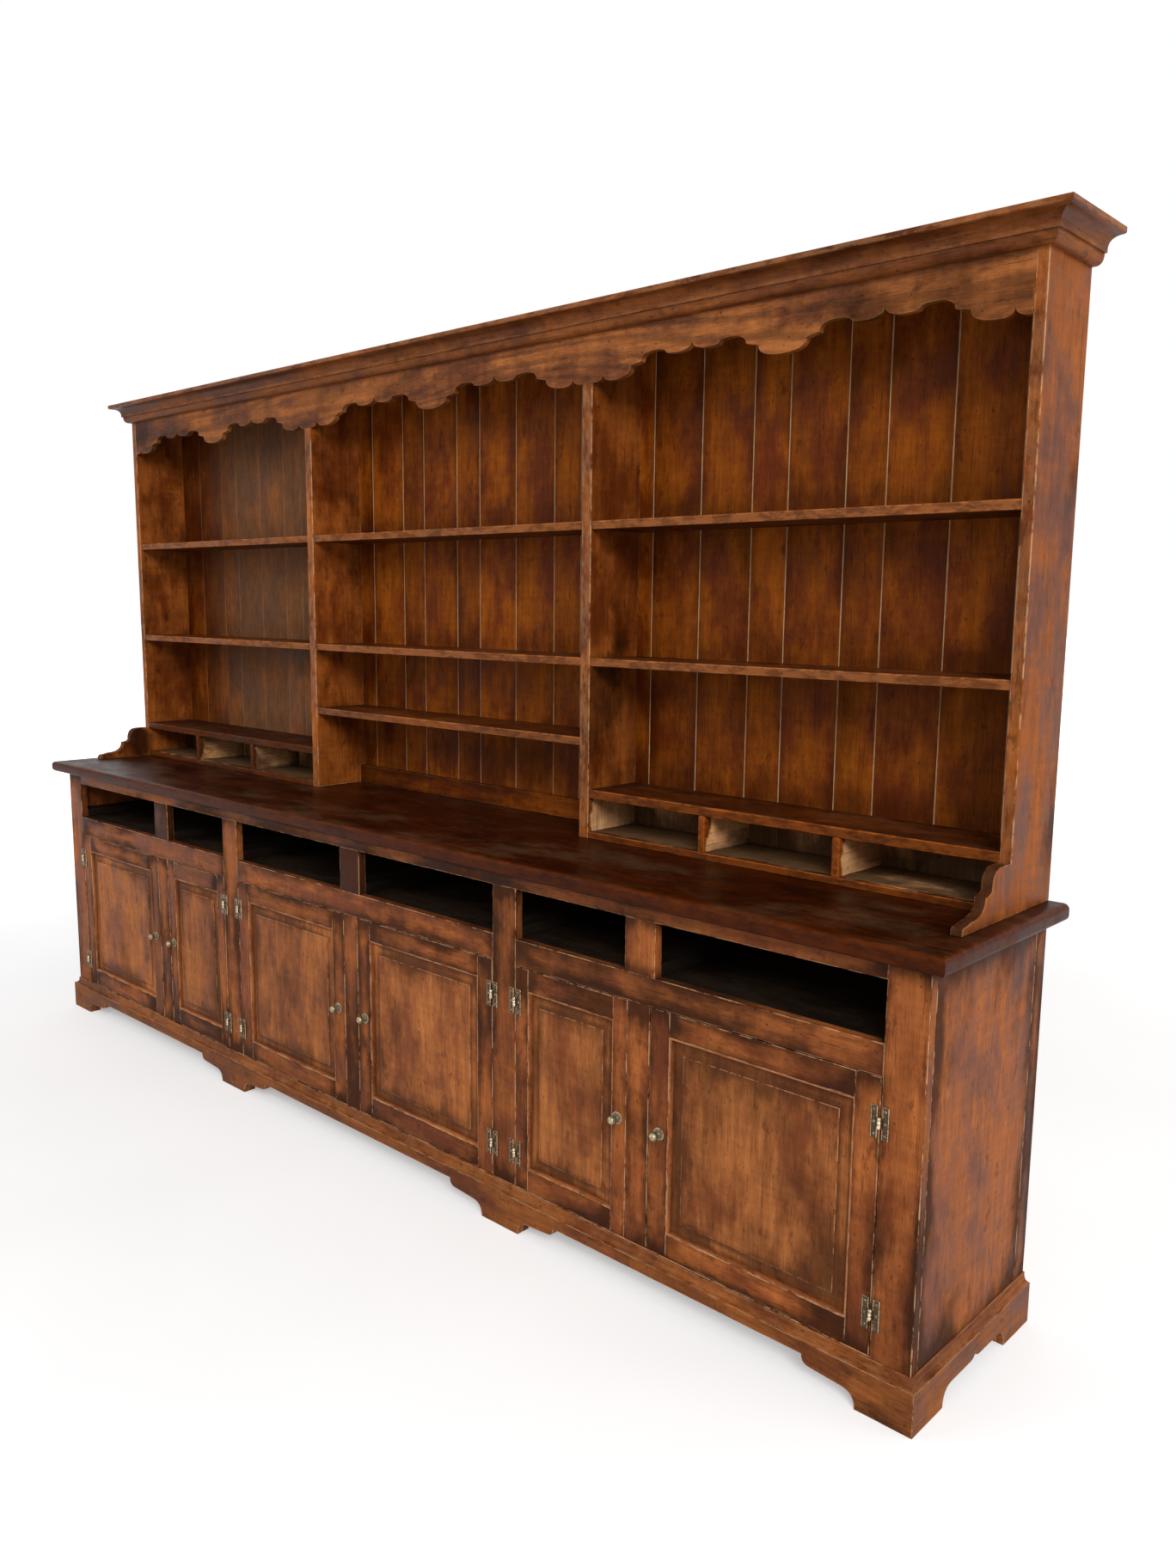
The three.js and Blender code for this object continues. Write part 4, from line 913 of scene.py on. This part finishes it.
# The bracket is drawn in shares of its reach and height.
bracket_shares = drawn(
    (0.0, 1.0), (0.21, 1.0), ((0.39, 1.0), (0.39, 0.60)), ((0.44, 0.53), (0.52, 0.53), 4),
    ((0.52, 0.19), (0.82, 0.19)), ((0.88, 0.15), (0.94, 0.15), 4), ((1.0, 0.15), (1.0, 0.0)),
)
bracket_line = bracket_shares * (-bracket_reach, bracket_high) + (rack_front, rack_low)
end_outline = [(back_y, rack_low), (back_y, rack_high), (rack_front, rack_high), *bracket_line]
divider_back, notch_y = back_board_y - gap, rack_front + frieze_thick + gap
notch_z = rack_side_top - frieze_drop - seam
divider_outline = [
    (divider_back, rack_low), (divider_back, rack_high), (notch_y, rack_high),
    (notch_y, notch_z), (rack_front, notch_z), (rack_front, rack_low),
]
for side, sign, bracket_soil in (("left", -1, 0.8), ("right", 1, 1.4)):
    from_to = (sign * (half_rack + gap), sign * half_base)
    rack_end = sawn_board(end_outline, 0, from_to, 2, rack_arris, rub=0.15)
    x, y = np.abs(rack_end["points"][:, 0]), rack_end["points"][:, 1]
    bracket = y < bracket_start
    rack_end["soil"] = bracket_soil * (bracket & (x < half_base - 0.002))
    rack_end["edge"] = np.where(bracket, 0.25 * rack_end["edge"], rack_end["edge"])
    assembled(f"rack_end_{side}_board", [rack_end], upright_wood, f"rack_end_{side}")
    from_to = (sign * (divider_in + gap), sign * (divider_out - gap))
    divider = sawn_board(divider_outline, 0, from_to, 2, rack_arris)
    assembled(f"rack_divider_{side}_board", [divider], upright_wood, f"rack_divider_{side}")
top_board = board(*corners_of("rack_top_board"), 0)
assembled("rack_top_board_piece", [top_board], waxed_wood, "rack_top_board")

# Shelves and skirting: plain boards housed in the dividers and ends. The front edges are
# rubbed orange by plates and hands. The skirting closes the back above the worktop.
shelf_arris, shelf_wear = 0.002, 0.0015
shelf_wood = wooden(
    "shelf wood", ((34, 17, 7), (66, 31, 12), (108, 57, 23), (172, 104, 58)),
    patches=0.5, wear=0.8, broken=0.6, dust=0.06,
)
skirting_wood = wooden(
    "skirting wood", ((44, 19, 7), (94, 42, 12), (140, 74, 20), (150, 92, 48)), {"gloss": 0.06},
    patches=0.6, wear=0.2,
)
front_rubs = {
    f"{level}_shelf_{bay}": 0.6
    for bay in ("left", "centre", "right") for level in ("upper", "middle")
}
front_rubs.update(low_shelf_centre=0.45, centre_skirting=0.0)
for name, rub in front_rubs.items():
    wood = skirting_wood if name == "centre_skirting" else shelf_wood
    shelf = board(*corners_of(name), 0, shelf_arris, shelf_wear, front_rub=rub)
    assembled(f"{name}_board", [shelf], wood, name)

# Pigeonholes: a floor, a cover and two dividers to each row, of bare dry pine. Only the front
# edges and the top of the cover took stain, in a wavering line.
hole_divider, hole_arris, cover_arris, hole_wear, cover_wear = 0.018, 0.0015, 0.002, 0.002, 0.003
floor_top, cover_low, cover_top = worktop_top + 0.016, worktop_top + 0.100, worktop_top + 0.122
pigeonhole_wood = part_stained(
    "pigeonhole wood", ((34, 17, 6), (60, 27, 10), (102, 52, 19), (160, 84, 30)), {"rough": 0.8},
    patches=0.5, wear=0.8, broken=0.65, dust=0.08,
)
hole_width = (half_rack - divider_out) / 3


def row_board(x0, x1, z0, z1, along, radius, wear, rub):
    """A board of a row, from the rack's front to its back boards."""
    low, high = (x0, rack_front, z0), (x1, back_board_y, z1)
    return board(low, high, along, radius, wear, front_rub=rub)


for side, sign in (("left", -1), ("right", 1)):
    x0, x1 = sign * (divider_out + gap), sign * (half_rack - gap)
    row = [
        row_board(x0, x1, worktop_top, floor_top, 0, hole_arris, hole_wear, 0.35),
        row_board(x0, x1, cover_low, cover_top, 0, cover_arris, cover_wear, 0.5),
    ]
    for x in (sign * (divider_out + hole_width), sign * (divider_out + 2 * hole_width)):
        faces = x - hole_divider / 2, x + hole_divider / 2
        row.append(row_board(*faces, floor_top, cover_low, 1, hole_arris, hole_wear, 0.7))
    row[0]["soil"] = 1.2 * (row[0]["points"][:, 1] > rack_front + 0.004)
    for part in row[2:]:
        part["soil"] *= 0.15 if side == "right" else 0.8
    if side == "left":
        row[1]["soil"] = np.maximum(row[1]["soil"], 0.9)
        for part in row:
            part["tone"] *= 0.0
            part["edge"] *= 0.3
    assembled(f"pigeonhole_row_{side}", row, pigeonhole_wood, f"pigeonholes_{side}")

# Frieze: one long board under the top, its lower edge sawn into arcades of small lobes
# between pendants, strongly figured, stained dark between orange patches.
frieze_rise, arcade = 0.058, 0.444
frieze_wood = wooden(
    "frieze wood", ((42, 22, 11), (92, 49, 24), (154, 93, 50), (180, 122, 76)),
    patches=0.95, rings=0.45, wear=0.25,
)


def arcade_half(way):
    """Half an arcade as shares of its run and of the rise, from the pendant to the middle point:
    a step, an arch and a small lobe. The other half is its mirror image."""
    half = drawn(
        (0.0, 0.0), ((0.25, 0.0), (0.25, 0.42)), (0.38, 0.53), ((0.38, 0.87), (0.56, 0.87)),
        ((0.685, 0.87), (0.685, 0.76), 4), ((0.685, 0.65), (0.81, 0.65), 4),
        ((1.0, 0.65), (1.0, 1.0)),
    )
    return half if way > 0 else (half * (-1.0, 1.0) + (2.0, 0.0))[::-1][1:]


def scalloped_bay(x0, x1):
    """The lower edge of one bay: half a lobe, two arcades and half a lobe."""
    middle, half = (x0 + x1) / 2, (x1 - x0) / 2
    left = drawn((-1.0, 0.0), ((-0.937, 0.0), (-0.937, 0.33)), ((-0.937, 0.0), (-2 * arcade, 0.0)))
    whole = np.concatenate([arcade_half(1), arcade_half(-1)]) * (arcade, 1.0)
    arcades = [(whole + (start, 0.0))[1:] for start in (-2 * arcade, 0.0)]
    shares = np.concatenate([left, *arcades, (left[::-1] * (-1.0, 1.0))[1:]])
    level = rack_side_top - frieze_drop + frieze_rise * shares[:, 1]
    return np.stack([middle + half * shares[:, 0], level], 1)


half_frieze = half_rack - seam / 2
frieze_outline = np.concatenate([
    [(-half_frieze, rack_high)],
    scalloped_bay(-half_frieze, -divider_out),
    scalloped_bay(-divider_in, divider_in),
    scalloped_bay(divider_out, half_frieze),
    [(half_frieze, rack_high)],
])
frieze = sawn_board(frieze_outline, 1, (rack_front, rack_front + frieze_thick), 0, rub=0.5)
assembled("frieze_board", [frieze], frieze_wood, "frieze")

# Cornice: an ovolo, a fillet, a cove and a square nose, planed in lengths and mitred round
# the front and both ends of the top board.
cornice_out, cornice_high = 0.058, 0.060
cornice_wood = wooden(
    "cornice wood", ((38, 19, 9), (86, 44, 21), (134, 77, 39), (166, 112, 72)), wear=0.35,
)
# The profile is drawn in shares of how far it stands out and of its height.
cornice_shares = drawn(
    (0.0, 0.0), (0.08, 0.0), ((0.36, 0.0), (0.36, 0.34), 9), (0.44, 0.34), (0.44, 0.42),
    ((0.44, 0.80), (0.93, 0.80), 9), (0.985, 0.825), (1.0, 0.845), (1.0, 0.975),
    (0.985, 1.0), (0.90, 1.0), (0.0, 1.0),
)
cornice_size = (cornice_out - seam / 2, cornice_high)
cornice_profile = cornice_shares * cornice_size + (seam / 2, rack_top - cornice_high)
cornice_rub = np.r_[
    0.0, 0.5, np.full(7, 0.15), 0.6, 0.9, 0.6, np.full(8, 0.1), 0.8, 1.0, 1.0, 0.8, 0.0, 0.0
]
cornice_corners = round_three_sides(rack_front)
cornice_runs = moulding(cornice_profile, cornice_corners, (0.0, 0.0, 1.0), cornice_rub)
assembled("cornice_moulding", cornice_runs, cornice_wood, "cornice")

# Floor: a plain pale studio floor that runs out into a white background and keeps the
# dresser's shadow. It is lifted to white for the camera and for gloss alone.
white = (1.0, 1.0, 1.0, 1.0)


def lit_by_camera(tree):
    """1 where a camera, gloss or glass ray looks, and 0 for the light that reaches the wood."""
    path = add_node(tree, "LightPath").outputs
    rays = ("Is Camera Ray", "Is Glossy Ray", "Is Transmission Ray")
    return sums(tree, "MAXIMUM", *(path[ray] for ray in rays))


floor_mesh = bpy.data.meshes.new("floor")
floor_mesh.from_pydata([(-60, -60, 0), (60, -60, 0), (60, 60, 0), (-60, 60, 0)], [], [(0, 1, 2, 3)])
floor = bpy.data.objects.new("floor", floor_mesh)
bpy.context.scene.collection.objects.link(floor)
floor_paint, tree = new_material("pale floor")
shader = tree.nodes["Principled BSDF"]
place = add_node(tree, "TexCoord").outputs["Object"]
distance = add_node(tree, "VectorMath", {0: place}, operation="LENGTH").outputs["Value"]
specks = add_node(tree, "TexNoise", {"Vector": place, "Scale": 1.5, "Detail": 3.0}).outputs["Fac"]
tree.links.new(grey(tree, spread(tree, specks, 0.2, 0.8, 0.70, 0.74)), shader.inputs["Base Color"])
shader.inputs["Roughness"].default_value = 0.9
shader.inputs["Emission Color"].default_value = white
lift = spread(tree, distance, 2.0, 7.0, 0.35, 1.0)
strength = sums(tree, "MULTIPLY", lift, lit_by_camera(tree))
tree.links.new(strength, shader.inputs["Emission Strength"])
floor_mesh.materials.append(floor_paint)

# Light: a white room, one large soft lamp high up in front on the right, a weaker one in front
# on the left and another beside the right-hand end, so that every side of the wood can be read.
world = bpy.data.worlds.new("white room")
world.use_nodes = True
tree = world.node_tree
background = tree.nodes["Background"]
room_light = spread(tree, lit_by_camera(tree), 0.0, 1.0, 0.55, 1.0)
tree.links.new(room_light, background.inputs["Strength"])
background.inputs["Color"].default_value = white
bpy.context.scene.world = world


def soft_lamp(name, place, aim, size, power):
    """A square lamp at a place, turned so that its face looks at the aim."""
    lamp = bpy.data.lights.new(name, "AREA")
    lamp.shape, lamp.size, lamp.energy = "SQUARE", size, power
    holder = bpy.data.objects.new(name, lamp)
    turned_lamp = (Vector(place) - Vector(aim)).to_track_quat("Z", "Y").to_matrix().to_4x4()
    holder.matrix_world = Matrix.Translation(place) @ turned_lamp
    bpy.context.scene.collection.objects.link(holder)


soft_lamp("key lamp", (8.2, -6.0, 6.2), (0.2, 0.0, 1.0), 3.8, 800.0)
soft_lamp("fill lamp", (-2.4, -4.8, 3.2), (-0.4, 0.0, 0.9), 2.4, 45.0)
soft_lamp("side lamp", (5.0, 1.6, 2.4), (1.2, 0.0, 1.0), 2.0, 25.0)
